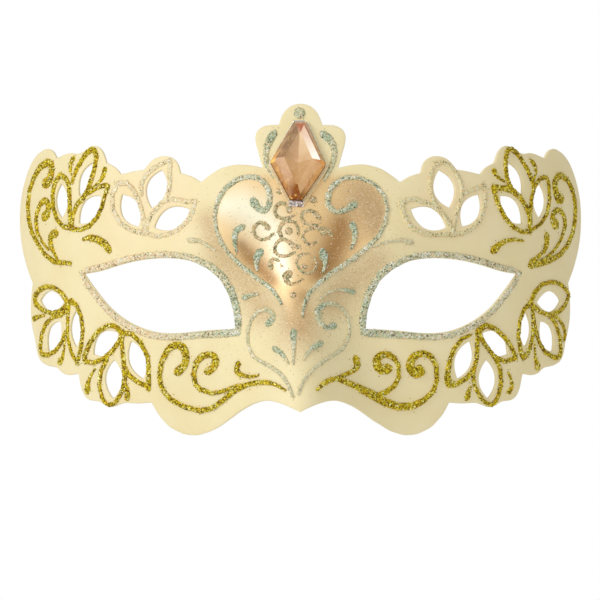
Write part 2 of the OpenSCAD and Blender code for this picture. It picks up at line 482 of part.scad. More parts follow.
module right_brow_flower() {
    color(blush) silver_strokes([
        [[50.8, 18, 1], [47.3, 17.9, 0.8], [43.4, 17.8, 0.8], [39.9, 18.4, 0.9], [36.7, 19.7, 0.9],
            [34.6, 22, 0.9], [33.4, 25, 0.9], [32.9, 28, 1.1]],
        [[32.9, 28, 1.1], [34.8, 29, 1], [37.7, 29.3, 0.9], [40.9, 28.3, 0.9], [44.1, 26.8, 0.9],
            [46.7, 25.1, 0.9], [48.9, 22.7, 0.9], [50.6, 20, 0.9]],
        [[46, 26.2, 0.6], [44, 28.9, 0.7], [43, 31.8, 0.7], [42.9, 35, 0.7], [43.4, 38.4, 0.8],
            [44.8, 40.7, 0.9], [47.2, 41.4, 0.8], [49.6, 40.4, 0.8], [52, 38, 0.8], [53.9, 35.2, 0.8],
            [54.5, 32.4, 0.8], [54.2, 29.5, 0.8], [53, 26.3, 0.8], [51.6, 22.6, 0.9], [51, 19, 0.9]],
        [[54.9, 30.9, 0.6], [57, 32, 0.8], [60, 33, 0.9], [62.9, 34, 0.9]],
        [[62.9, 34, 0.9], [63.6, 30.5, 0.9], [63, 26.8, 0.9], [61.3, 22.8, 0.9], [58.5, 20, 0.9],
            [55, 18.4, 0.9], [51.4, 17.8, 0.9]]]);
}

module left_heart_scroll() {
    color(silver) silver_strokes([[[-15, 28.2, 1.7], [-13.6, 26.2, 1.2], [-11.6, 25.3, 1], [-10.2, 27.2, 1],
        [-9.9, 30.5, 1], [-11, 33.7, 1], [-13.7, 35.9, 1], [-17, 36.2, 0.9], [-21, 35.2, 0.9],
        [-24.5, 32.5, 0.9], [-26.9, 28.5, 0.8], [-27.8, 24, 0.7], [-27.3, 19.5, 0.7], [-25.5, 15, 0.8],
        [-22.5, 11, 0.8], [-18.5, 7.3, 0.8], [-14, 3.8, 0.8], [-10, 1, 0.8], [-7.5, -1.8, 0.6],
        [-6, -4.5, 0.4]]]);
}

module right_heart_scroll() {
    color(silver) silver_strokes([
        [[17.2, 27.3, 1.5], [15, 25.8, 1], [12, 25, 0.9], [9.5, 26.1, 1], [8.7, 29, 1],
        [9.8, 32.5, 1], [12.3, 35, 0.9], [15.5, 36.2, 0.8], [20, 35.7, 0.7], [24, 33.9, 0.7],
        [27, 30.5, 0.7], [28.2, 26, 0.7], [27.5, 21.5, 0.7], [25.3, 17.4, 0.7], [21.5, 13.7, 0.8],
        [17.5, 10.5, 0.9], [13, 7.5, 0.8], [9, 4.8, 0.8], [5.5, 1.8, 0.8], [2.8, -1, 0.7], [1.3, -4.3, 0.6],
        [0.6, -8.5, 0.3]]]);
}

module left_heart_leaves() {
    color(silver) silver_strokes([
        [[-18.6, 20.2, 1.1], [-20.5, 19.2, 1.1], [-21.3, 17, 1], [-21, 14, 0.7], [-20.6, 12.2, 0.4]],
        [[-12.9, 12.2, 1.4], [-14.1, 10.5, 1.3], [-14.1, 8, 0.7], [-13.7, 6.2, 0.4]]]);
}

module right_heart_leaves() {
    color(silver) silver_strokes([
        [[16.7, 20.9, 1.2], [17.5, 18.5, 1], [17.2, 15.5, 0.8], [16.3, 13.2, 0.5]],
        [[7, 12.3, 1.3], [7.5, 10.7, 1.5], [7.8, 8.9, 0.8], [7.6, 7.4, 0.5], [7.1, 5.6, 0.4]]]);
}

module left_heart_sprig() {
    color(silver) silver_strokes([
        [[-36.4, 16, 1], [-33, 15.8, 0.7], [-30, 14.3, 0.5], [-27.6, 12.8, 0.3]]]);
}

module right_heart_sprig() {
    color(silver) silver_strokes([[[36, 15.3, 1.1], [33, 16, 0.7], [29, 15.7, 0.5], [25.4, 14.7, 0.4],
        [23.4, 13.9, 0.3]]]);
}

module forehead_curls() {
    color(silver) silver_strokes([
        [[-3.6, 25.4, 1.1], [-4.2, 27.1, 0.7], [-6, 27.9, 0.6], [-7.6, 27, 0.6], [-8.3, 25.2, 0.6],
            [-7.5, 23.5, 0.6], [-5.5, 22.8, 0.5], [-3.5, 23.2, 0.4], [-2, 23.9, 0.3]],
        [[-10.3, 19.8, 1], [-11.4, 21.1, 0.7], [-13, 21.6, 0.6], [-14.7, 20.4, 0.6], [-15.1, 18.4, 0.6],
            [-14.2, 16.9, 0.5], [-12.3, 16.1, 0.5], [-10.2, 16.7, 0.4], [-8.5, 18.2, 0.3]],
        [[-6.1, 16.8, 0.6], [-6.8, 18.9, 0.7], [-6, 21.1, 0.7], [-4, 22.1, 0.5], [-1.9, 21.6, 0.5],
            [-0.9, 19.9, 0.5], [-0.7, 17.8, 0.5]],
        [[-0.9, 13.8, 0.9], [-2.5, 14.2, 1], [-3.8, 15.4, 0.7], [-5.6, 16.2, 0.6], [-7.4, 15.2, 0.6],
            [-8.3, 13.2, 0.6], [-7.5, 11.4, 0.6], [-5.5, 10.7, 0.6], [-3.5, 11.1, 0.5], [-1.8, 12.2, 0.3]],
        [[-9.4, 7, 0.9], [-9.7, 8.4, 1.1], [-9, 9.6, 0.8], [-7.9, 9.9, 0.6], [-6.9, 9.2, 0.4]],
        [[-4.9, 4.6, 1.2], [-4.4, 2.8, 1], [-2.9, 1.8, 0.6], [-1.2, 2.4, 0.4], [0.6, 3.5, 0.3]],
        [[5.9, 23, 0.9], [4.9, 24.4, 1], [3.2, 25.3, 0.8], [1.3, 25, 0.6], [0.2, 23.4, 0.6],
            [1, 21.7, 0.6], [3, 20.7, 0.5], [5.4, 20.8, 0.5]],
        [[9.9, 17.4, 0.7], [9.2, 18.7, 0.9], [7.3, 19.4, 1.1], [4.8, 19.6, 0.5], [2.6, 19.4, 0.5],
            [1, 18.1, 0.5], [0.9, 16.3, 0.5], [2, 14.9, 0.6], [3.8, 14.5, 0.5], [5, 15.4, 0.4]],
        [[2.9, 11.5, 0.4], [0.7, 11.5, 0.5], [-0.9, 10.1, 0.5], [-1.1, 8.1, 0.6], [0.1, 6.1, 0.6],
            [2.3, 5.2, 0.6], [4.4, 6.3, 0.5], [5.1, 8.4, 0.5], [4.4, 10.3, 0.4]]],
        [[-3.8, 18.8, 1.4], [-6, 7.7, 0.4], [-2.4, -1.5, 1.1], [1.2, 7.5, 1], [4.1, 28.9, 1.3],
            [-6.8, 31.6, 1.1], [-3.8, 5.1, 1.5], [7.4, 18.3, 1.2]]);
}

module left_crown_stroke() {
    color(silver) silver_strokes([
        [[-8.5, 50.5, 1.3], [-9.7, 48.7, 1.5], [-10.7, 46.1, 1.2], [-11.2, 43.5, 1],
        [-11, 40.9, 0.9], [-10.1, 38.4, 0.7], [-8.3, 35.8, 0.4]]]);
}

module right_crown_stroke() {
    color(silver) silver_strokes([[[7.3, 50.1, 1.4], [8.8, 49, 1.5], [10.4, 46.8, 1.2], [11, 44.2, 1],
        [10.6, 41.6, 0.9], [9.4, 38.4, 0.7], [7.7, 35.4, 0.5]]]);
}

module crown_dot() {
    color(silver) dot([-0.3, 56.9], 2.2, silver_h);
}

module left_nose_scroll() {
    color(silver) silver_strokes([
        [[-10.4, -10.9, 1.1], [-8.8, -9.2, 1], [-9.2, -7.2, 0.9], [-11.3, -6.3, 0.8],
        [-13.8, -7.2, 0.6], [-15.8, -9.8, 0.5], [-16.8, -13.5, 0.5], [-16.6, -17.5, 0.5],
        [-15, -21.2, 0.6], [-11, -23.6, 0.7], [-6.6, -26.3, 0.7], [-4, -29.8, 0.6], [-2.3, -34, 0.4]]]);
}

module right_nose_scroll() {
    color(silver) silver_strokes([[[10.6, -11.4, 1.3], [8.2, -12, 0.8], [6.1, -10.3, 0.9], [5.4, -7, 1.1],
        [7.1, -4.8, 1], [10, -4.3, 0.8], [13.1, -5.8, 0.6], [15.2, -9.3, 0.5], [15.6, -14.3, 0.6],
        [13.3, -18.8, 0.7], [8.7, -21.8, 0.7], [3.9, -25.2, 0.7], [0.8, -29, 0.6], [-0.6, -33, 0.4]]]);
}

module left_nose_leaf() {
    color(silver) silver_strokes([
        [[-8.2, -18.7, 1], [-6, -20.1, 0.8], [-4.6, -21.8, 0.5], [-3.7, -23.4, 0.3]]]);
}

module right_nose_leaf() {
    color(silver) silver_strokes([
        [[6.3, -17, 1.1], [3.7, -18.6, 0.8], [1.9, -20.4, 0.5], [0.8, -22.2, 0.3]]]);
}

module nose_drop() {
    color(silver) silver_strokes([
        [[-2.2, -13.3, 1.2], [-2.2, -16, 0.9], [-2.1, -19.5, 0.5], [-2.3, -23.6, 0.3]]]);
}

module left_nose_sprig() {
    color(silver) silver_strokes([[[-18.2, -2.4, 1], [-15.8, -1.6, 0.7], [-13.4, -1.3, 0.4]]]);
}

module right_nose_sprig() {
    color(silver) silver_strokes([[[16.8, -0.7, 1], [14.4, 0, 0.6], [11.5, 0.1, 0.4], [8.7, -0.8, 0.4],
        [6.4, -2.7, 0.3]]]);
}

// Stone ---------------------------------------------------------------------------------

stone_at = [-0.7, 41]; // place of the stone's middle on the sheet
stone_lean = -3; // turn of its length from upright, anticlockwise as seen from the front
stone_tilt = 16; // lean of its back, from crown to brow, to suit the skin behind it
stone_lift = 0.7; // gap from the skin to the back of the foil at the stone's middle
stone_side = 1; // length of the short upright facet at each side
stone_waist = -0.9; // how far its widest place lies above its middle
girdle = 0.9; // height of the upright edge
bevel = 1.5; // width of the steep facets round the edge
bevel_rise = 0.62; // their share of the height above the girdle
table = [0.5, 0.66]; // width and length of the top facet against the whole stone's
glue_rim = [0.8, 1.4]; // how far the glue shows beside the stone and beyond its tips
glue_drop = 0.5; // how far the glue has run down
glue_deep = 3.5; // depth of the block that the skin's own shape is cut from to leave the glue

// A lozenge of width w and length l, widest at the height waist, with its points cut off to flats
function lozenge(w, l, tip, side = stone_side, waist = stone_waist) =
    [for (s = [[1, 1], [1, -1], [-1, -1], [-1, 1]])
        each (let (end = [s[0] * tip, s[1] * l] / 2, edge = [s[0] * w / 2, s[1] * side / 2 + waist])
            s[0] * s[1] > 0 ? [end, edge] : [edge, end])];
outline_of_stone = lozenge(stone_w, stone_l, stone_tip);

// Puts its children on the stone's plane, with +Z pointing out of the mask
module at_stone() {
    translate(skin(stone_at, stone_lift)) rotate([90 - stone_tilt, 0, 0]) rotate([0, 0, stone_lean])
        children();
}

module stone_facets() {
    shoulder = lozenge(stone_w - 2.2 * bevel, stone_l - 2 * bevel, stone_tip * 0.6, waist = stone_waist / 2);
    top = lozenge(stone_w * table[0], stone_l * table[1], stone_tip * 0.15, stone_side * 0.5, 0);
    rings = [outline_of_stone, outline_of_stone, shoulder, top];
    heights = [0, girdle, girdle + (stone_h - girdle) * bevel_rise, stone_h];
    n = 8;
    polyhedron(
        points = [for (i = [0:3]) each [for (p = rings[i]) [p[0], p[1], heights[i]]]],
        faces = [[for (k = [n - 1:-1:0]) k], for (i = [0:2], k = [0:n - 1]) let (j = (k + 1) % n)
            each [[n * i + k, n * i + j, n * i + n + j], [n * i + k, n * i + n + j, n * i + n + k]],
            [for (k = [0:n - 1]) 3 * n + k]]);
}

module gem_stone() {
    color(peach) at_stone() translate([0, 0, foil_t]) stone_facets();
}

module gem_foil() {
    color("silver") at_stone() linear_extrude(foil_t) polygon(outline_of_stone);
}

module gem_glue() {
    color("#EADFC8") resize([0, 0, 0]) difference() {
        at_stone() translate([0, -glue_drop, -glue_deep]) linear_extrude(glue_deep)
            polygon(lozenge(stone_w + 2 * glue_rim[0], stone_l + 2 * glue_rim[1], stone_tip + glue_rim[0]));
        skin_block(grid_us, grid_vs, -block, 0);
    }
}

// Ribbon sleeves ------------------------------------------------------------------------

sleeve_at = [101, 8]; // middle of each sleeve on the sheet

// A patch of the inner face's own shape, between depths d0 and d1 behind the skin
module inner_patch(side, v0, v1, d0, d1) {
    us = [for (k = [-1:0.5:1]) side * sleeve_at[0] + k * patch_l / 2];
    skin_block(us, [v0, (v0 + v1) / 2, v1], -d1, -d0);
}

module tie_patch(side) {
    color("#EFE8D2") inner_patch(side, sleeve_at[1] - patch_w / 2, sleeve_at[1] + patch_w / 2,
        wall + passage_t, wall + passage_t + patch_t);
}

module tie_glue(side) {
    color("#E9E2CC") resize([0, 0, 0]) difference() {
        for (s = [-1, 1]) {
            edge = [sleeve_at[1] + s * passage_w / 2, sleeve_at[1] + s * patch_w / 2];
            inner_patch(side, min(edge), max(edge), wall / 2, wall + passage_t);
        }
        skin_block(grid_us, grid_vs, -wall, 1);
    }
}

mask_shell();
gem_stone();
gem_foil();
gem_glue();
tie_patch(-1);  // left_tie_patch
tie_patch(1);  // right_tie_patch
tie_glue(-1);  // left_tie_glue
tie_glue(1);  // right_tie_glue
left_temple_scroll();
right_temple_scroll();
left_temple_flower();
right_temple_flower();
left_brow_dash();
right_brow_dash();
left_cheekbone_flower();
right_cheekbone_flower();
left_cheek_flower();
right_cheek_flower();
left_chin_scroll();
right_chin_scroll();
left_chin_hook();
eye_rim(-1);  // left_eye_rim
eye_rim(1);  // right_eye_rim
left_brow_flower();
right_brow_flower();
left_heart_scroll();
right_heart_scroll();
left_heart_leaves();
right_heart_leaves();
left_heart_sprig();
right_heart_sprig();
forehead_curls();
left_crown_stroke();
right_crown_stroke();
crown_dot();
left_nose_scroll();
right_nose_scroll();
left_nose_leaf();
right_nose_leaf();
nose_drop();
left_nose_sprig();
right_nose_sprig();
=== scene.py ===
import json
import math

import bpy
import numpy as np
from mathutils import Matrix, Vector
from mathutils.geometry import delaunay_2d_cdt
from mathutils.kdtree import KDTree


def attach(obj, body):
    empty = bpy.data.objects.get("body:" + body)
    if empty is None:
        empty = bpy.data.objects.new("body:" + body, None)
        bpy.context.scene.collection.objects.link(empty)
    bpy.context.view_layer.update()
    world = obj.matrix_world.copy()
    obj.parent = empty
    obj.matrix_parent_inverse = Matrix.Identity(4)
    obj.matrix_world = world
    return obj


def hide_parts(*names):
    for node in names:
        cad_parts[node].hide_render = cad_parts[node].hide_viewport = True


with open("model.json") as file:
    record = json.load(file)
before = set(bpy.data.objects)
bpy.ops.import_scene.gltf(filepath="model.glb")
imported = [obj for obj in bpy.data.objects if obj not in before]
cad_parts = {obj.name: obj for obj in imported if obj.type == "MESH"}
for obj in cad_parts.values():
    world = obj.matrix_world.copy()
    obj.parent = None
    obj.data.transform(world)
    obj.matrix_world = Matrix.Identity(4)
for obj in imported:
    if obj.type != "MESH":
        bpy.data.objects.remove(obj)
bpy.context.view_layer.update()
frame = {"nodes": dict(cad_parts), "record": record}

NODES = frame["nodes"]
SLOTS = {part["node"]: part["material_slot"] for part in frame["record"]["subparts"]}
MM = 0.001

# The moulded skin, as in the CAD model: u runs round the face and v is the height, in mm.
FRONT_R, TEMPLE_R, FRONT_ANGLE = 110.0, 90.0, math.radians(30)
FRONT_ARC = FRONT_R * FRONT_ANGLE
FRONT_X = FRONT_R * math.sin(FRONT_ANGLE)
CAMBER_R, CAMBER_V = 150.0, 5.0
NOSE_H, NOSE_TOP, NOSE_RUN = 20.0, 40.0, 75.0
BRIDGE_W, NOSTRIL_GAIN = 12.0, 5.0
BROW_H, BROW_AT, BROW_SPREAD = 3.0, (28.0, 17.0), (14.0, 10.0)
WALL = 1.1
# The rounding of the skin's cut edges and the gap between the points of its mesh, in mm
EDGE_R, GRID = 0.35, 1.25

# The stone's place and build, and the felt patches', as in the CAD model
STONE_AT, STONE_LIFT, STONE_TILT, STONE_LEAN = (-0.7, 41.0), 0.7, 16.0, -3.0
STONE_W, STONE_L, STONE_TIP, STONE_SIDE, STONE_WAIST, STONE_H = 17.6, 26.4, 4.0, 1.0, -0.9, 3.6
FOIL_T, GIRDLE, BEVEL, BEVEL_RISE, TABLE = 0.2, 0.9, 1.5, 0.62, (0.5, 0.66)
PATCH_AT, PATCH_L, PATCH_W, PATCH_T, PASSAGE_W, PASSAGE_T = (101.0, 8.0), 12.0, 13.0, 0.8, 8.0, 1.2

# Distances from the middle of the face between which the silver glitter turns to rose, in m,
# and how much of that turn shows on the right half
TURN_AT, RIGHT_TURN = (0.022, 0.05), 0.4

# The camera at the photograph's angle: how far away and aside it stands, in m, and its lens, in mm
CAMERA_AWAY, CAMERA_X, CAMERA_Z = 1.5, -0.00016, -0.0032
LENS, SENSOR = 281.25, 36.0


# ---------------------------------------------------------------------------------------
# The skin and its sheet
# ---------------------------------------------------------------------------------------

def bare(u, v):
    """Points of the skin over the places u, v on the sheet."""
    side, a = np.sign(u), np.abs(u)
    front = a < FRONT_ARC
    turn = np.where(front, a / FRONT_R, FRONT_ANGLE + (a - FRONT_ARC) / TEMPLE_R)
    x = np.where(front, FRONT_R * np.sin(turn),
                 FRONT_X + TEMPLE_R * (np.sin(turn) - math.sin(FRONT_ANGLE)))
    y = np.where(front, FRONT_R * (1 - np.cos(turn)),
                 FRONT_R * (1 - math.cos(FRONT_ANGLE))
                 + TEMPLE_R * (math.cos(FRONT_ANGLE) - np.cos(turn)))
    width = BRIDGE_W + NOSTRIL_GAIN * np.clip((10 - v) / 45, 0, 1.2)
    nose = NOSE_H * np.clip((NOSE_TOP - v) / NOSE_RUN, 0, None) ** 1.5 * np.exp(-(u / width) ** 2)
    brow = BROW_H * np.exp(-((a - BROW_AT[0]) / BROW_SPREAD[0]) ** 2
                           - ((v - BROW_AT[1]) / BROW_SPREAD[1]) ** 2)
    camber = (v - CAMBER_V) ** 2 / (2 * CAMBER_R)
    return np.stack([side * x, y + camber - nose - brow, v + 0.0 * u], -1)


def outward(u, v, step=0.05):
    across = bare(u + step, v) - bare(u - step, v)
    up = bare(u, v + step) - bare(u, v - step)
    n = np.cross(across, up)
    return n / np.linalg.norm(n, axis=-1, keepdims=True)


def skin(u, v, d):
    """Points that lie d outside the skin, in mm."""
    return bare(u, v) + np.asarray(d)[..., None] * outward(u, v)


def sheet_of(points):
    """The u, v and d of points near the skin, in mm: the inverse of skin()."""
    d = np.zeros(len(points))
    foot = points.copy()
    for _ in range(6):
        x = np.abs(foot[:, 0])
        turn = np.arcsin(np.clip(math.sin(FRONT_ANGLE) + (x - FRONT_X) / TEMPLE_R, -1, 1))
        u = np.where(x < FRONT_X, FRONT_R * np.arcsin(np.clip(x / FRONT_R, -1, 1)),
                     FRONT_ARC + TEMPLE_R * (turn - FRONT_ANGLE)) * np.sign(foot[:, 0])
        v = foot[:, 2]
        n = outward(u, v)
        d = np.sum((points - bare(u, v)) * n, axis=1)
        foot = points - d[:, None] * n
    return u, v, d


# ---------------------------------------------------------------------------------------
# Mesh helpers
# ---------------------------------------------------------------------------------------

def cad_mesh(node):
    """A CAD node's vertices in mm and its triangles, with shared corners joined."""
    mesh = NODES[node].data
    mesh.calc_loop_triangles()
    co = np.empty(len(mesh.vertices) * 3)
    mesh.vertices.foreach_get("co", co)
    tris = np.empty(len(mesh.loop_triangles) * 3, int)
    mesh.loop_triangles.foreach_get("vertices", tris)
    _, first, back = np.unique(np.round(co.reshape(-1, 3), 7), axis=0, return_index=True,
                               return_inverse=True)
    tris = back.reshape(-1)[tris].reshape(-1, 3)
    whole = (tris[:, 0] != tris[:, 1]) & (tris[:, 1] != tris[:, 2]) & (tris[:, 0] != tris[:, 2])
    return co.reshape(-1, 3)[first] / MM, tris[whole]


def new_object(name, points, faces, smooth=True):
    """An object from points in mm."""
    mesh = bpy.data.meshes.new(name)
    mesh.from_pydata((np.asarray(points) * MM).tolist(), [], [tuple(map(int, f)) for f in faces])
    mesh.validate()
    mesh.polygons.foreach_set("use_smooth", [smooth] * len(mesh.polygons))
    obj = bpy.data.objects.new(name, mesh)
    bpy.context.scene.collection.objects.link(obj)
    return obj


def settle(obj):
    """Applies an object's modifiers."""
    graph = bpy.context.evaluated_depsgraph_get()
    mesh = bpy.data.meshes.new_from_object(obj.evaluated_get(graph))
    obj.modifiers.clear()
    obj.data = mesh
    return obj


def points_of(obj):
    co = np.empty(len(obj.data.vertices) * 3)
    obj.data.vertices.foreach_get("co", co)
    return co.reshape(-1, 3)


def normals_of(obj):
    n = np.empty(len(obj.data.vertices) * 3)
    obj.data.vertices.foreach_get("normal", n)
    return n.reshape(-1, 3)


def attribute(obj, name, values, kind="FLOAT"):
    """Writes a value for each point of an object's mesh, for its material to read."""
    field = {"FLOAT": "value", "FLOAT_VECTOR": "vector", "FLOAT_COLOR": "color"}[kind]
    data = obj.data.attributes.new(name, kind, "POINT").data
    data.foreach_set(field, np.asarray(values, float).ravel())


def stands_for(obj, *nodes):
    """obj is the look of these CAD nodes."""
    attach(obj, "root")
    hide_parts(*nodes)
    return obj


def hashed(cells, seed):
    """A repeatable random number from 0 to 1 for each row of whole numbers."""
    mixed = cells @ np.array([12.9898, 78.233, 37.719]) + seed * 4.1414
    return np.modf(np.abs(np.sin(mixed) * 43758.5453))[0]


# ---------------------------------------------------------------------------------------
# The shell
# ---------------------------------------------------------------------------------------

def rim_loops(points, tris):
    """The edges of the CAD shell's front surface, as loops of places on the sheet."""
    u, v, d = sheet_of(points)
    front = tris[(d[tris] > -WALL / 3).all(axis=1)]
    ahead = {}
    known = {(a, b) for t in front for a, b in ((t[0], t[1]), (t[1], t[2]), (t[2], t[0]))}
    for a, b in known:
        if (b, a) not in known:
            ahead[a] = b
    loops = []
    while ahead:
        start, at = ahead.popitem()
        loop = [start]
        while at != start:
            loop.append(at)
            at = ahead.pop(at)
        loops.append(np.stack([u[loop], v[loop]], 1))
    return loops


def evenly(path, gap):
    """An open path with its points about gap apart, both ends kept."""
    along = np.concatenate([[0], np.cumsum(np.linalg.norm(np.diff(path, axis=0), axis=1))])
    at = np.linspace(0, along[-1], max(3, int(round(along[-1] / gap)) + 1))
    return np.stack([np.interp(at, along, path[:, k]) for k in (0, 1)], 1)


def corners(loop, reach=1.6, sharp=40):
    """The sharp corners of a closed, evenly spaced loop, by the turn over a short reach."""
    gap = np.linalg.norm(loop[1] - loop[0])
    k = max(1, int(round(reach / gap)))
    before, after = loop - np.roll(loop, k, 0), np.roll(loop, -k, 0) - loop
    cross = before[:, 0] * after[:, 1] - before[:, 1] * after[:, 0]
    turn = np.abs(np.degrees(np.arctan2(cross, np.sum(before * after, axis=1))))
    peak = np.array([turn[(i + np.arange(-k, k + 1)) % len(turn)].max() for i in range(len(turn))])
    return [i for i in range(len(turn)) if turn[i] >= sharp and turn[i] == peak[i]]


def eased(path, spread):
    """An open path with its small bends smoothed out and its ends kept."""
    gap = np.linalg.norm(path[1] - path[0])
    k = int(3 * spread / gap) + 1
    weight = np.exp(-0.5 * (np.arange(-k, k + 1) * gap / spread) ** 2)
    k = min(k, len(path) - 1)
    weight = weight[len(weight) // 2 - k:len(weight) // 2 + k + 1]
    weight /= weight.sum()
    padded = np.concatenate([2 * path[0] - path[k:0:-1], path, 2 * path[-1] - path[-2:-k - 2:-1]])
    return np.stack([np.convolve(padded[:, c], weight, "valid") for c in (0, 1)], 1)


def round_loop(loop, gap=0.55, spread=1.1):
    """A CAD outline with its facets smoothed away and its sharp corners kept."""
    closed = evenly(np.vstack([loop, loop[:1]]), 0.25)[:-1]
    marks = corners(closed)
    if not marks:
        marks = [0]
    closed = np.roll(closed, -marks[0], 0)
    marks = [m - marks[0] for m in marks] + [len(closed)]
    closed = np.vstack([closed, closed[:1]])
    runs = [evenly(eased(evenly(closed[a:b + 1], gap / 2), spread), gap)
            for a, b in zip(marks, marks[1:])]
    return np.vstack([run[:-1] for run in runs])


def inward(loop):
    """The direction into the material at each point of a loop that keeps it on its left."""
    along = np.roll(loop, -1, 0) - np.roll(loop, 1, 0)
    along /= np.linalg.norm(along, axis=1, keepdims=True)
    return np.stack([-along[:, 1], along[:, 0]], 1)


def within(points, loops):
    """Whether each point lies inside an odd number of the loops."""
    inside = np.zeros(len(points), bool)
    for loop in loops:
        low, high = loop.min(0), loop.max(0)
        near = np.flatnonzero(((points > low) & (points < high)).all(axis=1))
        px, py = points[near].T[:, :, None]
        (ax, ay), (bx, by) = loop.T[:, None], np.roll(loop, -1, 0).T[:, None]
        spans = (ay > py) != (by > py)
        with np.errstate(divide="ignore", invalid="ignore"):
            crosses = spans & (px < (bx - ax) * (py - ay) / (by - ay) + ax)
        inside[near] ^= crosses.sum(axis=1) % 2 == 1
    return inside


def make_shell():
    loops = [round_loop(loop) for loop in rim_loops(*cad_mesh("mask_shell"))]
    ways = [inward(loop) for loop in loops]
    inner = [loop + EDGE_R * way for loop, way in zip(loops, ways)]

    # an even grid of places on the sheet, kept clear of the edges
    tree = KDTree(sum(len(loop) for loop in inner))
    for i, p in enumerate(np.vstack(inner)):
        tree.insert((p[0], p[1], 0), i)
    tree.balance()
    low, high = np.vstack(inner).min(0), np.vstack(inner).max(0)
    rows = np.arange(low[1], high[1], GRID * math.sqrt(0.75))
    columns = np.arange(low[0], high[0], GRID)
    spots = [(x + (k % 2) * GRID / 2, y) for k, y in enumerate(rows) for x in columns]
    spots = [p for p in spots if tree.find((p[0], p[1], 0))[2] > GRID * 0.6]
    spots = np.array(spots)[within(np.array(spots), inner)]

    edges, start = [], 0
    for loop in inner:
        n = len(loop)
        edges += [(start + i, start + (i + 1) % n) for i in range(n)]
        start += n
    flat = [Vector(p) for p in np.vstack(inner)] + [Vector(p) for p in spots]
    places, _, faces, origins, _, _ = delaunay_2d_cdt(flat, edges, [], 1, 1e-6)
    at = {o: i for i, group in enumerate(origins) for o in group}
    uv = np.array([tuple(p) for p in places])
    solid = within(uv[np.array(faces)].mean(axis=1), inner)
    faces = [f for f, keep in zip(faces, solid) if keep]

    # front and back of the shell, then the rounded edge between them, row by row
    steps = [math.radians(a) for a in (30, 60, 90)]
    rows = [(EDGE_R * (1 - math.sin(s)), -EDGE_R * (1 - math.cos(s))) for s in steps]
    rows += [(inset, -WALL - d) for inset, d in reversed(rows)]
    n = len(uv)
    sheet = [np.column_stack([uv, np.zeros(n)]), np.column_stack([uv, np.full(n, -WALL)])]
    polys = [tuple(f) for f in faces] + [tuple(n + i for i in reversed(f)) for f in faces]
    start, count = 0, 2 * n
    for loop, way in zip(loops, ways):
        m = len(loop)
        bands = [[at[start + i] for i in range(m)]]
        for inset, depth in rows:
            sheet.append(np.column_stack([loop + inset * way, np.full(m, depth)]))
            bands.append(list(range(count, count + m)))
            count += m
        bands.append([n + i for i in bands[0]])
        for a, b in zip(bands, bands[1:]):
            polys += [(a[(i + 1) % m], a[i], b[i], b[(i + 1) % m]) for i in range(m)]
        start += m
    sheet = np.vstack(sheet)
    shell = new_object("painted_shell", skin(sheet[:, 0], sheet[:, 1], sheet[:, 2]), polys)
    attribute(shell, "sheet", sheet, "FLOAT_VECTOR")
    return shell, sheet, inner


def smoothstep(x, low, high):
    t = np.clip((x - low) / (high - low), 0, 1)
    return t * t * (3 - 2 * t)


def falling(x, high, low):
    """0 above high, 1 below low, and smooth between."""
    return smoothstep(-x, -high, -low)


# Half widths of the painted heart to its left and right at rising heights, in mm
HEART_V = [-10, -5, 0, 4, 8, 12, 16, 20, 25, 30, 34, 38]
HEART_LEFT = [3.5, 5, 9, 14, 19, 23, 25.5, 27, 27.5, 26, 22.5, 16]
HEART_RIGHT = [1, 1.5, 3, 8, 14, 19, 24, 26.8, 28, 27, 24, 17]

# Sprayed zones on the sheet: runs of u, v and reach, in mm
# painted highlight: a band of light over the heart's left lobe that runs down beside its middle
PAINTED_HIGHLIGHT = [(-24.5, 27, 4.5), (-19, 27, 6.5), (-14, 24, 7), (-10, 20, 6), (-7.2, 14.5, 4.5),
        (-6, 9, 3), (-4.5, 4, 1.8)]
# painted shade: three runs on the heart, beside its left lobe, right of its middle and at its tip
SHADE = [[(-19, 14.5, 2.2), (-16, 10.5, 3.4), (-13, 7.5, 3.6), (-9.5, 3.5, 2.8)],
         [(13.2, 21, 4.5), (12, 16, 6), (9.5, 10.5, 5.6), (6.5, 5.5, 4.2)],
         [(1.5, -2.5, 2.8), (0.5, -5, 4.8), (0, -9, 5.5)]]
LOBE = [(24.5, 25, 8), (20, 30, 7.5), (25, 20, 5)]
HAZE = [[(-30, 22, 4), (-25, 10, 5.5), (-17, 3, 7), (-12, -6, 6)],
        [(24, 9, 6), (16, 3, 7), (10, -4, 6)],
        [(-1, -4, 7), (0, -13, 8)]]
NOSE_HAZE = [(-3, -2, 4), (-1, -9, 5)]
BLUSH = [[(-58, 27, 9), (-47, 33, 8), (-42, 23, 7)], [(58, 26, 9), (47, 33, 8), (42, 24, 7)]]
# How strong the haze on the nose is, and how thick the dust lies in the haze
NOSE_HAZE_SHARE, DUST_IN_HAZE = 0.75, 0.8


def sprayed(u, v, run):
    """How much paint each place gets from a spray gun that follows a run."""
    run = np.array(run, float)
    t = np.linspace(0, len(run) - 1, 12 * len(run))
    cu, cv, reach = (np.interp(t, np.arange(len(run)), run[:, k])[:, None] for k in range(3))
    return np.exp(-(((u - cu) ** 2 + (v - cv) ** 2) / reach ** 2).min(axis=0))


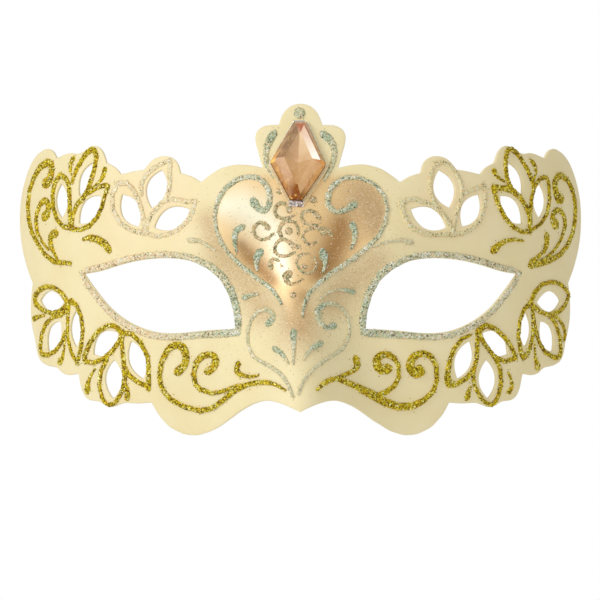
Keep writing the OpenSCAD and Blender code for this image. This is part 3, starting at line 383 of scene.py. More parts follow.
def paint(shell, sheet):
    """Masks for the paint layers, laid down as an airbrush would; two of them lay a painted highlight
    and painted shade on the heart.
    """
    u, v, d = sheet.T
    left, right = np.interp(v, HEART_V, HEART_LEFT), np.interp(v, HEART_V, HEART_RIGHT)
    clear = np.where(u < 0, left + u, right - u)
    heart = smoothstep(clear, -1.2, 1.4) * smoothstep(v, -14, 2) * (1 - smoothstep(v, 35, 39))

    def several(runs):
        return np.max([sprayed(u, v, run) for run in runs], axis=0)

    haze = several(HAZE) * (1 - heart)
    lobe = sprayed(u, v, LOBE) * heart
    # a little glitter falls over the whole middle of the mask as well
    strewn = 0.25 * np.exp(-(u / 30) ** 2 - ((v - 8) / 26) ** 2)
    attribute(shell, "heart", heart)
    attribute(shell, "glow", sprayed(u, v, PAINTED_HIGHLIGHT) * heart)
    attribute(shell, "shade", several(SHADE) * heart)
    attribute(shell, "lobe", lobe)
    attribute(shell, "haze", haze + NOSE_HAZE_SHARE * sprayed(u, v, NOSE_HAZE))
    attribute(shell, "blush", several(BLUSH))
    attribute(shell, "dust", np.clip(haze * DUST_IN_HAZE + lobe + strewn, 0, 1))
    attribute(shell, "inside", smoothstep(-d, WALL * 0.75, WALL * 0.95))


# ---------------------------------------------------------------------------------------
# Glitter beads
# ---------------------------------------------------------------------------------------

# The middle of each eye opening on the sheet, how much wider its rim gets towards the nose,
# and the distances from the middle of the face over which it does so, in mm
RIM_MIDDLE, RIM_GAIN, RIM_GAIN_AT = (42.0, -3.0), 0.4, (38, 26)
# The glue's surface: voxel and smoothing passes, then the sizes of its two grains and of the
# ragged steps of its edge, in mm
BEAD_VOXEL, BEAD_PASSES = 0.24, 4
GRAINS, FINE_GRAIN_SHARE, RAGGED = (0.42, 0.3), 0.7, 0.6


def rim_spread(u, v, along):
    """How much wider an eye's rim gets on its outer side, towards the nose, in mm."""
    outer = along[:, 0] * (u - np.sign(u) * RIM_MIDDLE[0]) + along[:, 2] * (v - RIM_MIDDLE[1]) > 0
    return RIM_GAIN * outer * falling(np.abs(u), *RIM_GAIN_AT)


def softened(node, name, voxel, passes, grain=0.0, spread=0.0):
    """A CAD solid of glue with its facets melted away, widened by spread and made grainy."""
    points, tris = cad_mesh(node)
    bead = new_object(name, points, tris)
    remesh = bead.modifiers.new("remesh", "REMESH")
    remesh.mode = "VOXEL"
    remesh.voxel_size = voxel * MM
    ease = bead.modifiers.new("ease", "SMOOTH")
    ease.iterations = passes
    settle(bead)
    co, n = points_of(bead) / MM, normals_of(bead)
    u, v, _ = sheet_of(co)
    up = outward(u, v)
    along = n - np.sum(n * up, axis=1, keepdims=True) * up
    ragged = 0.6 + 0.8 * hashed(np.floor(co / RAGGED), 3)
    if node.endswith("_eye_rim"):
        spread = spread + rim_spread(u, v, along)
    co += along * (spread * ragged)[:, None]
    bump = (hashed(np.floor(co / GRAINS[0]), 1) - 0.5) * grain
    bump += (hashed(np.floor(co / GRAINS[1] + 0.37), 2) - 0.5) * grain * FINE_GRAIN_SHARE
    co += n * bump[:, None]
    bead.data.vertices.foreach_set("co", (co * MM).ravel())
    bead.data.update()
    return bead


# How far the loose flakes lie off the skin, in mm
FLAKE_CLEAR = 0.06


def flake_mesh(node, seed, share=0.55, reach=1.1, size=0.17):
    """Loose flakes beside a bead: small hexagons that lie on the skin, each tipped its own way."""
    points, _ = cad_mesh(node)
    u, v, d = sheet_of(points)
    foot = np.column_stack([u, v])[d < 0]
    key = np.round(foot * 100)
    draw = [hashed(np.column_stack([key, np.full(len(key), k)]), seed) for k in range(7)]
    keep = draw[0] < share
    angle, away = draw[1] * 2 * math.pi, 0.25 + reach * draw[2] ** 2
    at = foot + away[:, None] * np.stack([np.cos(angle), np.sin(angle)], 1)
    radius = size * (0.7 + 0.6 * draw[3])
    spin = draw[4] * math.pi
    tip = (draw[5] - 0.5) * 0.5, (draw[6] - 0.5) * 0.5
    verts, faces = [], []
    for i in np.flatnonzero(keep):
        start = len(verts)
        for k in range(6):
            a = spin[i] + k * math.pi / 3
            du, dv = radius[i] * math.cos(a), radius[i] * math.sin(a)
            lift = abs(tip[0][i] * du + tip[1][i] * dv) * 0.8
            verts.append((at[i, 0] + du, at[i, 1] + dv, FLAKE_CLEAR + lift))
        faces.append([start + k for k in range(6)])
    verts = np.array(verts)
    return skin(verts[:, 0], verts[:, 1], verts[:, 2]), faces, verts


# Heads of the silver strokes on the sheet, where the glitter lies thick and dark, in mm
HEADS = [(-14.5, 27.8), (16.5, 27), (-19.8, 19.6), (-13.2, 11.6), (16.9, 20.2), (7.2, 11.2),
         (-9, 49.8), (8, 49.6), (-10, -10.4), (9.6, -11.8), (6, -6), (-2.2, -14), (5.2, -17.6),
         (-7.2, -19.2), (-18, -2.4), (16, -0.4)]
HEAD_REACH, HEAD_TINT = 3.2, (0.76, 0.86, 0.86)
# Tints of whole pieces, and the share of dust in the thin strokes of others
CURL_TINT, SHADED_TINT, CROWN_TINT = (1.0, 0.8, 0.65), (0.94, 0.97, 0.9), (1.06, 1.01, 0.96)
DUSTY = {"nose": 0.45, "sprig": 0.45, "crown": 0.15, "brow_flower": 0.15}


def tinted(bead, node):
    """Darkens the heads of the silver strokes, browns the thin curls on the gold paint, warms
    the crown's strokes, and marks how dusty the thin strokes are away from their heads."""
    u, v, _ = sheet_of(points_of(bead) / MM)
    away = np.min([(u - hu) ** 2 + (v - hv) ** 2 for hu, hv in HEADS], axis=0)
    deep = np.exp(-away / HEAD_REACH ** 2)[:, None]
    tint = 1 - deep * (1 - np.array(HEAD_TINT))
    if node == "forehead_curls":
        tint = np.tile(CURL_TINT, (len(u), 1))
    elif node == "right_brow_flower":
        tint = np.tile(SHADED_TINT, (len(u), 1))
    elif "crown" in node:
        tint = tint * CROWN_TINT
    attribute(bead, "tint", np.column_stack([tint, np.ones(len(u))]), "FLOAT_COLOR")
    dusty = next((share for key, share in DUSTY.items() if key in node), 0.0)
    attribute(bead, "dusty", dusty * (1 - deep[:, 0]))


def glitter_bead(node, seed, grain, spread, shell_loops):
    """A bead of glue that is full of glitter, with the loose flakes that fell beside it."""
    bead = softened(node, node + "_glitter", BEAD_VOXEL, BEAD_PASSES, grain, spread)
    bead.data.polygons.foreach_set("use_smooth", [False] * len(bead.data.polygons))
    points, faces, places = flake_mesh(node, seed)
    lands = within(places[:, :2], shell_loops)
    kept = [f for f in faces if lands[f].all()]
    if kept:
        flakes = new_object(node + "_flakes", points, kept, smooth=False)
        both = [bead, flakes]
        with bpy.context.temp_override(active_object=bead, selected_editable_objects=both):
            bpy.ops.object.join()
    tinted(bead, node)
    return stands_for(bead, node)


# ---------------------------------------------------------------------------------------
# The stone
# ---------------------------------------------------------------------------------------

def lozenge(w, l, tip, side, waist):
    """The corners of a lozenge with its points cut to flats, clockwise from the top right."""
    right = [(tip / 2, l / 2), (w / 2, side / 2 + waist),
             (w / 2, -side / 2 + waist), (tip / 2, -l / 2)]
    return right + [(-x, y) for x, y in reversed(right)]


def at_stone(points):
    """Points on the stone's own plane, put in their place on the mask, in mm."""
    lean, tilt = math.radians(STONE_LEAN), math.radians(90 - STONE_TILT)
    x, y, z = np.asarray(points, float).T
    x, y = x * math.cos(lean) - y * math.sin(lean), x * math.sin(lean) + y * math.cos(lean)
    y, z = y * math.cos(tilt) - z * math.sin(tilt), y * math.sin(tilt) + z * math.cos(tilt)
    return np.stack([x, y, z], 1) + skin(*np.array(STONE_AT), STONE_LIFT)


# The light that each facet sends back from the foil, at its corners. A sector lies between
# two neighbouring corners of the lozenge, and its colours run outer first, clockwise.
BEVELS = [[(196, 168, 138), (190, 150, 96), (174, 134, 92), (164, 110, 80)],
          [(240, 160, 66), (214, 140, 56), (196, 132, 62), (220, 150, 76)],
          [(204, 148, 84), (128, 84, 24), (118, 76, 20), (204, 156, 100)],
          [(128, 66, 6), (130, 68, 8), (140, 76, 16), (128, 66, 10)],
          [(118, 60, 4), (184, 132, 78), (188, 144, 96), (118, 60, 8)],
          [(250, 190, 84), (255, 208, 100), (214, 158, 96), (220, 168, 104)],
          [(232, 168, 84), (150, 122, 94), (150, 122, 90), (184, 136, 94)],
          [(190, 164, 140), (184, 148, 116), (156, 70, 44), (160, 78, 48)]]
CROWNS = [[(230, 190, 160), (255, 255, 246), (255, 252, 238), (226, 190, 164)],
          [(196, 124, 62), (188, 132, 80), (198, 154, 108), (226, 190, 152)],
          [(196, 150, 104), (182, 140, 88), (190, 150, 102), (206, 166, 120)],
          [(124, 64, 8), (120, 60, 6), (134, 76, 24), (138, 80, 30)],
          [(120, 62, 10), (180, 136, 94), (186, 144, 100), (150, 98, 48)],
          [(184, 136, 92), (184, 140, 98), (166, 130, 92), (176, 136, 94)],
          [(152, 112, 78), (130, 102, 76), (146, 116, 84), (150, 116, 82)],
          [(156, 68, 42), (168, 84, 54), (168, 124, 96), (222, 186, 160)]]
TABLE_RIM = [(226, 198, 160), (204, 168, 126), (194, 154, 108), (182, 138, 90), (178, 134, 86),
             (172, 132, 88), (160, 126, 90), (178, 144, 110)]
TABLE_MIDDLE = [(198, 161, 120), (196, 156, 112), (188, 146, 100), (184, 142, 96), (180, 140, 92),
                (180, 140, 98), (188, 148, 108), (192, 154, 114)]
# How far round each sector a crease lies, and how much of the change of colour comes before it
CREASES = [(0.5, 0.5), (0.5, 0.5), (0.72, 0.15), (0.5, 0.5),
           (0.3, 0.85), (0.5, 0.5), (0.3, 0.8), (0.5, 0.5)]
# How much fire shows at each corner of the lozenge, and what share of it the inner ends of the
# bevels and the crowns keep
FIRE = [0.7, 1.0, 0.9, 0.9, 1.0, 1.0, 1.0, 0.8]
BEVEL_FIRE, CROWN_FIRE = 0.6, 0.3
# The share of each bevel that its dark edge, a painted shade, takes and how dark that is, and the
# underside's tone
RIM_SHARE, RIM_DARK, UNDERSIDE = 0.17, 0.5, (150, 100, 60)
# How wide the tip's flat is at the shoulder and the table, as shares of its width at the girdle,
# and how far down the stone the middle of the table's shading lies, as a share of its length
TIP_SHARES, TABLE_SINK = (0.6, 0.15), 0.06


def make_stone():
    """The stone as separate flat facets, each with the light that it throws back at its corners."""
    whole = lozenge(STONE_W, STONE_L, STONE_TIP, STONE_SIDE, STONE_WAIST)
    shoulder = lozenge(STONE_W - 2.2 * BEVEL, STONE_L - 2 * BEVEL, STONE_TIP * TIP_SHARES[0],
                       STONE_SIDE, STONE_WAIST / 2)
    top = lozenge(STONE_W * TABLE[0], STONE_L * TABLE[1], STONE_TIP * TIP_SHARES[1],
                  STONE_SIDE / 2, 0)
    waist = GIRDLE + (STONE_H - GIRDLE) * BEVEL_RISE
    rings = [np.array([(x, y, h + FOIL_T) for x, y in ring])
             for ring, h in ((whole, 0), (whole, GIRDLE), (shoulder, waist), (top, STONE_H))]
    edge = rings[1] + (rings[2] - rings[1]) * RIM_SHARE
    middle = (0.0, -TABLE_SINK * STONE_L, STONE_H + FOIL_T)
    points, faces, tones, fire = [], [], [], []

    def facet(corners, colours, lively):
        faces.append(list(range(len(points), len(points) + len(corners))))
        points.extend(tuple(c) for c in corners)
        tones.extend(rgb(*c) for c in colours)
        fire.extend(lively)

    def between(pair, share):
        return pair[0] + (pair[1] - pair[0]) * share

    facet(list(rings[0]), [UNDERSIDE] * 8, [0] * 8)
    for k in range(8):
        j = (k + 1) % 8
        hot = FIRE[k], FIRE[j]
        dark = [tuple(c * RIM_DARK for c in tone) for tone in BEVELS[k][:2]]
        facet([rings[0][j], rings[0][k], rings[1][k], rings[1][j]], [dark[1], dark[0], *dark], [0] * 4)
        facet([rings[1][j], rings[1][k], edge[k], edge[j]], [dark[1], dark[0], *BEVELS[k][:2]],
              [0, 0, *hot])
        along, share = CREASES[k]
        for (a, b, c, d), tone, fires in (
                ((edge[k], edge[j], rings[2][j], rings[2][k]), BEVELS[k], (1.0, BEVEL_FIRE)),
                ((rings[2][k], rings[2][j], rings[3][j], rings[3][k]), CROWNS[k], (CROWN_FIRE, 0.0))):
            outer, inner = ([heat * part for heat in hot] for part in fires)
            # the crease, from its outer to its inner end
            start, end = between((a, b), along), between((d, c), along)
            start_tone, end_tone = (tuple(between(levels, share) for levels in zip(*pair))
                                    for pair in ((tone[0], tone[1]), (tone[3], tone[2])))
            start_fire, end_fire = between(outer, share), between(inner, share)
            facet([a, d, end], [tone[0], tone[3], end_tone], [outer[0], inner[0], end_fire])
            facet([a, end, start], [tone[0], end_tone, start_tone],
                  [outer[0], end_fire, start_fire])
            facet([start, end, c], [start_tone, end_tone, tone[2]],
                  [start_fire, end_fire, inner[1]])
            facet([start, c, b], [start_tone, tone[2], tone[1]],
                  [start_fire, inner[1], outer[1]])
        facet([rings[3][k], middle, rings[3][j]],
              [TABLE_RIM[k], TABLE_MIDDLE[k], TABLE_RIM[j]], [0] * 3)
    stone = new_object("brow_stone", at_stone(points), faces, smooth=False)
    attribute(stone, "glow_tone", np.column_stack([tones, np.ones(len(tones))]), "FLOAT_COLOR")
    attribute(stone, "fire", fire)
    return stands_for(stone, "gem_stone")


# ---------------------------------------------------------------------------------------
# Felt sleeves
# ---------------------------------------------------------------------------------------

# The felt: its corners' radius and the gap of its mesh, and how far it frays, arches over the
# ribbon's way, is pressed down by the glue, rounds at its edges and varies in its nap, in mm
CORNER, FELT_GAP = 1.6, 0.45
FRAY, ARCH, PRESS, SOFT_EDGE, NAP = 0.24, 0.16, 0.1, 0.22, 0.05


def make_patch(side):
    """A cut felt patch, pressed down where it is glued and arched over the ribbon's way."""
    nx, ny = int(PATCH_L / FELT_GAP), int(PATCH_W / FELT_GAP)
    us, vs = np.meshgrid(np.linspace(-1, 1, nx + 1), np.linspace(-1, 1, ny + 1), indexing="ij")
    # the square grid is drawn in to round corners
    x, y = us * PATCH_L / 2, vs * PATCH_W / 2
    over_x, over_y = np.abs(x) - (PATCH_L / 2 - CORNER), np.abs(y) - (PATCH_W / 2 - CORNER)
    both = (over_x > 0) & (over_y > 0)
    far = np.hypot(over_x, over_y)
    pull = np.where(both, np.maximum(over_x, over_y) / np.where(far > 0, far, 1), 1.0)
    x = np.where(both, np.sign(x) * (PATCH_L / 2 - CORNER + over_x * pull), x)
    y = np.where(both, np.sign(y) * (PATCH_W / 2 - CORNER + over_y * pull), y)
    edge = 1 - np.maximum(np.abs(us), np.abs(vs))

    def varied(across, up, salt, seed):
        cells = np.column_stack([across.ravel(), up.ravel(), us.ravel() * 0 + salt])
        return hashed(cells, seed).reshape(x.shape) - 0.5

    frayed = varied(np.round(x / 0.5), np.round(y / 0.5), side, 5) * FRAY * (edge < 0.02)
    x, y = x * (1 + frayed / (PATCH_L / 2)), y * (1 + frayed / (PATCH_W / 2))
    arch = ARCH * np.cos(np.clip(y / (PASSAGE_W / 2), -1, 1) * math.pi / 2)
    pressed = PRESS * np.exp(-((np.abs(y) - (PASSAGE_W + PATCH_W) / 4) / 1.0) ** 2)
    soft = SOFT_EDGE * np.exp(-(edge / 0.06) ** 2)
    nap = varied(us * 97, vs * 89, 0, 7) * NAP
    near = WALL + PASSAGE_T + 0.02 + soft * 0.7 + arch * 0.6
    away = WALL + PASSAGE_T + PATCH_T - 0.1 - soft - pressed + arch * 0.5 + nap
    u, v = side * PATCH_AT[0] + x, PATCH_AT[1] + y
    sheet = np.vstack([np.column_stack([u.ravel(), v.ravel(), -near.ravel()]),
                       np.column_stack([u.ravel(), v.ravel(), -away.ravel()])])
    n, w = (nx + 1) * (ny + 1), ny + 1
    faces = []
    for i in range(nx):
        for j in range(ny):
            a, b, c, d = i * w + j, (i + 1) * w + j, (i + 1) * w + j + 1, i * w + j + 1
            faces += [(a, b, c, d), (n + d, n + c, n + b, n + a)]
    rim = [i * w for i in range(nx)] + [nx * w + j for j in range(ny)] \
        + [i * w + ny for i in range(nx, 0, -1)] + list(range(ny, 0, -1))
    faces += [(b, a, n + a, n + b) for a, b in zip(rim, rim[1:] + rim[:1])]
    name = "left" if side < 0 else "right"
    patch = new_object(name + "_felt_patch", skin(*sheet.T), faces)
    return stands_for(patch, name + "_tie_patch")


# ---------------------------------------------------------------------------------------
# Materials
# ---------------------------------------------------------------------------------------

class Nodes:
    """A short way to write a node tree."""

    def __init__(self, name):
        self.material = bpy.data.materials.new(name)
        self.material.use_nodes = True
        self.tree = self.material.node_tree
        self.shader = self.tree.nodes["Principled BSDF"]

    def add(self, kind, **values):
        node = self.tree.nodes.new(kind)
        for key, value in values.items():
            setattr(node, key, value)
        return node

    def put(self, node, socket, value):
        """Sets a socket to a value, or links it to another node's output."""
        if isinstance(value, bpy.types.NodeSocket):
            self.tree.links.new(value, node.inputs[socket])
        else:
            node.inputs[socket].default_value = value

    def math(self, operation, a, b=0.0, clamp=False):
        node = self.add("ShaderNodeMath", operation=operation, use_clamp=clamp)
        self.put(node, 0, a)
        self.put(node, 1, b)
        return node.outputs[0]

    def mix(self, factor, a, b):
        node = self.add("ShaderNodeMix", data_type="RGBA")
        self.put(node, 0, factor)
        self.put(node, 6, a)
        self.put(node, 7, b)
        return node.outputs[2]

    def times(self, a, b):
        node = self.add("ShaderNodeVectorMath", operation="MULTIPLY")
        self.put(node, 0, a)
        self.put(node, 1, b)
        return node.outputs[0]

    def lerp(self, factor, a, b):
        node = self.add("ShaderNodeMix", data_type="FLOAT")
        self.put(node, 0, factor)
        self.put(node, 2, a)
        self.put(node, 3, b)
        return node.outputs[0]

    def noise(self, where, scale, detail=3.0, rough=0.5):
        node = self.add("ShaderNodeTexNoise")
        self.put(node, "Vector", where)
        self.put(node, "Scale", scale)
        self.put(node, "Detail", detail)
        self.put(node, "Roughness", rough)
        return node.outputs["Fac"]

    def channels(self, colour):
        node = self.add("ShaderNodeSeparateColor")
        self.put(node, 0, colour)
        return node.outputs

    def cells(self, where, scale):
        node = self.add("ShaderNodeTexVoronoi")
        self.put(node, "Vector", where)
        self.put(node, "Scale", scale)
        return node.outputs["Color"]

    def ramp(self, value, stops, even=True):
        """Colours at their places along 0 to 1, with even changes between them or sharp ones."""
        node = self.add("ShaderNodeValToRGB")
        band = node.color_ramp
        band.interpolation = "LINEAR" if even else "CONSTANT"
        while len(band.elements) < len(stops):
            band.elements.new(0.5)
        for element, (at, colour) in zip(band.elements, stops):
            element.position = at
            element.color = (*colour, 1.0)
        self.put(node, 0, value)
        return node.outputs[0]

    def step(self, value, low, high):
        """0 below low, 1 above high, and even between."""
        node = self.add("ShaderNodeMapRange")
        self.put(node, 0, value)
        self.put(node, 1, low)
        self.put(node, 2, high)
        return node.outputs[0]

    def attribute(self, name, kind="Fac"):
        return self.add("ShaderNodeAttribute", attribute_name=name).outputs[kind]

    def place(self):
        return self.add("ShaderNodeTexCoord").outputs["Object"]

    def bump(self, height, distance, strength):
        node = self.add("ShaderNodeBump")
        self.put(node, "Height", height)
        self.put(node, "Distance", distance)
        self.put(node, "Strength", strength)
        return node.outputs[0]

    def tilted(self, cell_colour, amount):
        """The surface's normal, tilted a different way in each cell, as loose flakes lie."""
        centre = self.add("ShaderNodeVectorMath", operation="SUBTRACT")
        self.put(centre, 0, cell_colour)
        centre.inputs[1].default_value = (0.5, 0.5, 0.5)
        scaled = self.add("ShaderNodeVectorMath", operation="SCALE")
        self.put(scaled, 0, centre.outputs[0])
        self.put(scaled, "Scale", amount)
        added = self.add("ShaderNodeVectorMath", operation="ADD")
        self.put(added, 0, self.add("ShaderNodeNewGeometry").outputs["Normal"])
        self.put(added, 1, scaled.outputs[0])
        unit = self.add("ShaderNodeVectorMath", operation="NORMALIZE")
        self.put(unit, 0, added.outputs[0])
        return unit.outputs[0]


def rgb(*levels):
    """A colour from 0 to 255 screen levels."""
    return tuple(((x / 255 + 0.055) / 1.055) ** 2.4 if x > 10 else x / 3294.6 for x in levels)


def screen(*levels):
    """The same with alpha, for a colour socket."""
    return (*rgb(*levels), 1)


def paint_material():
    """Matte cream paint outside, with an airbrushed rose-gold heart that carries a painted highlight
    and painted shade; bare pulp inside.
    """
    m = Nodes("cream_paint")
    sheet = m.attribute("sheet", "Vector")
    heart, glow, shade, lobe = (m.attribute(k) for k in ("heart", "glow", "shade", "lobe"))
    haze, blush, dust, inside = (m.attribute(k) for k in ("haze", "blush", "dust", "inside"))

    cloud = m.step(m.noise(sheet, 0.07, 3.0), 0.35, 0.65)
    cream = m.mix(cloud, screen(248, 235, 190), screen(245, 230, 180))
    fine = m.step(m.noise(sheet, 2.4, 3.0, 0.7), 0.3, 0.7)
    cream = m.mix(m.math("MULTIPLY", haze, m.lerp(fine, 0.5, 0.82)), cream, screen(202, 168, 118))
    cream = m.mix(m.math("MULTIPLY", blush, 0.3), cream, screen(246, 214, 176))

    # the heart's rose gold, with painted shade where the shade mask lies and a painted highlight where
    # the glow mask lies
    gold = m.mix(shade, screen(246, 212, 154), screen(172, 128, 72))
    gold = m.mix(m.math("MULTIPLY", lobe, m.lerp(fine, 0.7, 0.95)), gold, screen(196, 164, 118))
    gold = m.mix(glow, gold, screen(255, 250, 222))
    outside = m.mix(heart, cream, gold)

    cell = m.cells(sheet, 4.4)
    split = m.channels(cell)
    threshold = m.math("SUBTRACT", 1.0, m.math("MULTIPLY", dust, 0.22))
    speck = m.math("GREATER_THAN", split[0], threshold)
    flecks = m.ramp(split[1], [(0.0, rgb(150, 128, 94)), (0.25, rgb(186, 160, 122)),
                               (0.5, rgb(222, 196, 154)), (0.88, rgb(250, 238, 214))])
    outside = m.mix(m.math("MULTIPLY", speck, 0.7), outside, flecks)
    pulp = m.mix(m.noise(sheet, 0.5, 4.0, 0.7), screen(236, 231, 214), screen(222, 215, 194))
    m.put(m.shader, "Base Color", m.mix(inside, outside, pulp))
    m.put(m.shader, "Metallic", m.math("MULTIPLY", heart, 0.2))
    rough = m.lerp(m.math("MULTIPLY", heart, m.math("SUBTRACT", 1.0, lobe)), 0.55, 0.42)
    m.put(m.shader, "Roughness", m.lerp(inside, rough, 0.85))
    grain = m.noise(sheet, 1.7, 4.0, 0.65)
    m.put(m.shader, "Normal", m.bump(grain, 0.00005, 0.3))
    return m.material


def glitter_material(name, stops, metallic, tilt, far_stops=None, tinted_glue=True, scale=2300.0):
    """Flakes of glitter in clear glue. stops give the flakes' colours, and far_stops theirs
    further out from the middle of the face, where the glitter turns."""
    m = Nodes(name)
    cell = m.cells(m.place(), scale)
    split = m.channels(cell)
    drift = m.math("MULTIPLY", m.math("SUBTRACT", m.noise(m.place(), 420.0, 2.0), 0.5), 0.3)
    value = m.math("ADD", split[0], drift, clamp=True)
    colour = m.ramp(value, stops, even=False)
    if far_stops:
        out = m.add("ShaderNodeSeparateXYZ")
        m.put(out, 0, m.place())
        away = m.step(m.math("ABSOLUTE", out.outputs["X"]), *TURN_AT)
        away = m.math("MULTIPLY", away, m.lerp(m.step(out.outputs["X"], 0.0, 0.01), 1.0, RIGHT_TURN))
        colour = m.mix(away, colour, m.ramp(value, far_stops, even=False))
    if tinted_glue:
        colour = m.times(colour, m.attribute("tint", "Color"))
        colour = m.mix(m.attribute("dusty"), colour, screen(238, 224, 180))
    m.put(m.shader, "Base Color", colour)
    m.put(m.shader, "Metallic", metallic)
    m.put(m.shader, "Roughness", m.lerp(split[1], 0.25, 0.55))
    m.put(m.shader, "Normal", m.tilted(cell, tilt))
    m.shader.inputs["Specular IOR Level"].default_value = 0.35
    return m.material


def stone_material():
    """Cut stone over foil: each facet throws back its own light, with streaks of fire inside."""
    m = Nodes("peach_stone")
    tone = m.attribute("glow_tone", "Color")
    fire = m.attribute("fire")
    along = m.add("ShaderNodeMapping")
    m.put(along, "Vector", m.place())
    along.inputs["Scale"].default_value = (1.0, 1.0, 0.35)
    along.inputs["Rotation"].default_value = (0.0, 0.2, 0.0)
    streak = m.noise(along.outputs[0], 900.0, 4.0, 0.7)
    # dark and lit streaks: painted shade and painted light of the fire inside the stone
    dark = m.math("MULTIPLY", m.step(streak, 0.47, 0.36), fire, clamp=True)
    lit = m.math("MULTIPLY", m.step(streak, 0.57, 0.66), fire, clamp=True)
    colour = m.mix(m.math("MULTIPLY", dark, 0.75), tone, screen(124, 62, 12))
    colour = m.mix(m.math("MULTIPLY", lit, 0.8), colour, screen(255, 206, 112))
    veil = m.step(m.noise(m.place(), 380.0, 3.0, 0.6), 0.42, 0.7)
    colour = m.mix(m.math("MULTIPLY", veil, 0.12), colour, screen(255, 226, 196))
    # pale specks: painted glints on the stone
    painted_glint = m.math("GREATER_THAN", m.noise(m.place(), 1900.0, 2.0, 0.6), 0.71)
    colour = m.mix(m.math("MULTIPLY", painted_glint, 0.5), colour, screen(255, 238, 214))
    m.put(m.shader, "Base Color", colour)
    # the facets also give off their own colour faintly: painted light, as the stone is no lamp
    m.put(m.shader, "Emission Color", colour)
    m.shader.inputs["Emission Strength"].default_value = 0.28
    m.shader.inputs["Roughness"].default_value = 0.1
    m.shader.inputs["IOR"].default_value = 1.3
    return m.material


def foil_material():
    m = Nodes("mirror_foil")
    m.put(m.shader, "Base Color", screen(236, 200, 168))
    m.put(m.shader, "Metallic", 1.0)
    wrinkle = m.noise(m.place(), 900.0, 3.0)
    m.put(m.shader, "Roughness", m.lerp(wrinkle, 0.1, 0.3))
    m.put(m.shader, "Normal", m.bump(wrinkle, 0.0001, 0.3))
    return m.material


def stone_glue_material():
    """Clear glue, with crumpled foil showing in it under the stone's tips, its palest flecks painted
    glints.
    """
    m = Nodes("clear_glue")
    tip = m.attribute("tip")
    cell = m.cells(m.place(), 1500.0)
    split = m.channels(cell)
    # grey to white flecks: crumpled foil, with painted glints in its palest cells
    foil = m.ramp(split[0], [(0.0, rgb(128, 112, 104)), (0.35, rgb(196, 176, 168)),
                             (0.7, rgb(236, 222, 216)), (0.92, rgb(255, 255, 255))])
    cloud = m.noise(m.place(), 500.0, 3.0)
    clear = m.mix(cloud, screen(240, 214, 164), screen(230, 200, 148))
    clear = m.mix(m.attribute("high"), clear, screen(246, 238, 204))
    m.put(m.shader, "Base Color", m.mix(tip, clear, foil))
    m.put(m.shader, "Metallic", m.math("MULTIPLY", tip, 0.5))
    m.put(m.shader, "Roughness", m.lerp(tip, 0.1, 0.25))
    bent = m.mix(tip, (0.5, 0.5, 0.5, 1), cell)
    m.put(m.shader, "Normal", m.tilted(bent, 1.0))
    m.shader.inputs["Coat Weight"].default_value = 0.25
    m.shader.inputs["Coat Roughness"].default_value = 0.1
    return m.material


def hot_glue_material():
    m = Nodes("hot_glue")
    cloud = m.noise(m.place(), 500.0, 3.0)
    m.put(m.shader, "Base Color", m.mix(cloud, screen(236, 228, 204), screen(214, 205, 180)))
    m.put(m.shader, "Roughness", m.lerp(cloud, 0.25, 0.45))
    m.shader.inputs["Subsurface Weight"].default_value = 0.3
    m.shader.inputs["Subsurface Radius"].default_value = (0.002, 0.0016, 0.001)
    m.put(m.shader, "Normal", m.bump(cloud, 0.0002, 0.4))
    return m.material


def felt_material():
    m = Nodes("felt")
    hair = m.noise(m.place(), 2600.0, 5.0, 0.75)
    clump = m.step(m.noise(m.place(), 700.0, 4.0, 0.6), 0.3, 0.7)
    light = m.mix(clump, screen(226, 217, 190), screen(240, 233, 210))
    m.put(m.shader, "Base Color", m.mix(m.step(hair, 0.35, 0.65), screen(206, 196, 168), light))
    m.put(m.shader, "Roughness", 0.95)
    m.shader.inputs["Sheen Weight"].default_value = 0.3
    m.put(m.shader, "Normal", m.bump(m.math("ADD", hair, clump), 0.0003, 0.8))
    return m.material


def materials():
    # Flake colours from dark to near white; the near-white top stops are painted glints of flakes
    # catching the light.
    gold = [(0.0, rgb(106, 82, 0)), (0.14, rgb(158, 134, 0)), (0.38, rgb(194, 173, 8)),
            (0.6, rgb(218, 198, 16)), (0.7, rgb(216, 166, 26)), (0.77, rgb(240, 222, 66)),
            (0.9, rgb(255, 253, 172))]
    mint = [(0.0, rgb(112, 118, 94)), (0.08, rgb(160, 164, 132)), (0.24, rgb(184, 200, 168)),
            (0.48, rgb(228, 208, 166)), (0.64, rgb(206, 216, 186)), (0.8, rgb(244, 236, 208)),
            (0.92, rgb(255, 255, 250))]
    rose = [(0.0, rgb(132, 116, 88)), (0.05, rgb(198, 160, 118)), (0.14, rgb(236, 202, 162)),
            (0.3, rgb(242, 226, 184)), (0.66, rgb(214, 218, 182)), (0.8, rgb(248, 234, 204)),
            (0.94, rgb(255, 255, 250))]
    blush = [(0.0, rgb(140, 126, 88)), (0.06, rgb(204, 184, 132)), (0.14, rgb(238, 200, 160)),
             (0.22, rgb(242, 226, 182)), (0.68, rgb(214, 216, 178)), (0.8, rgb(248, 236, 202)),
             (0.93, rgb(255, 254, 246))]
    return {
        "cream_paint": paint_material(),
        "gold_glitter": glitter_material("gold_glitter", gold, 0.35, 0.8, tinted_glue=False),
        "silver_glitter": glitter_material("silver_glitter", mint, 0.15, 0.7, rose),
        "blush_glitter": glitter_material("blush_glitter", blush, 0.1, 0.6),
        "peach_stone": stone_material(),
        "mirror_foil": foil_material(),
        "clear_glue": stone_glue_material(),
        "hot_glue": hot_glue_material(),
        "felt": felt_material(),
    }


# ---------------------------------------------------------------------------------------
# Stage
# ---------------------------------------------------------------------------------------

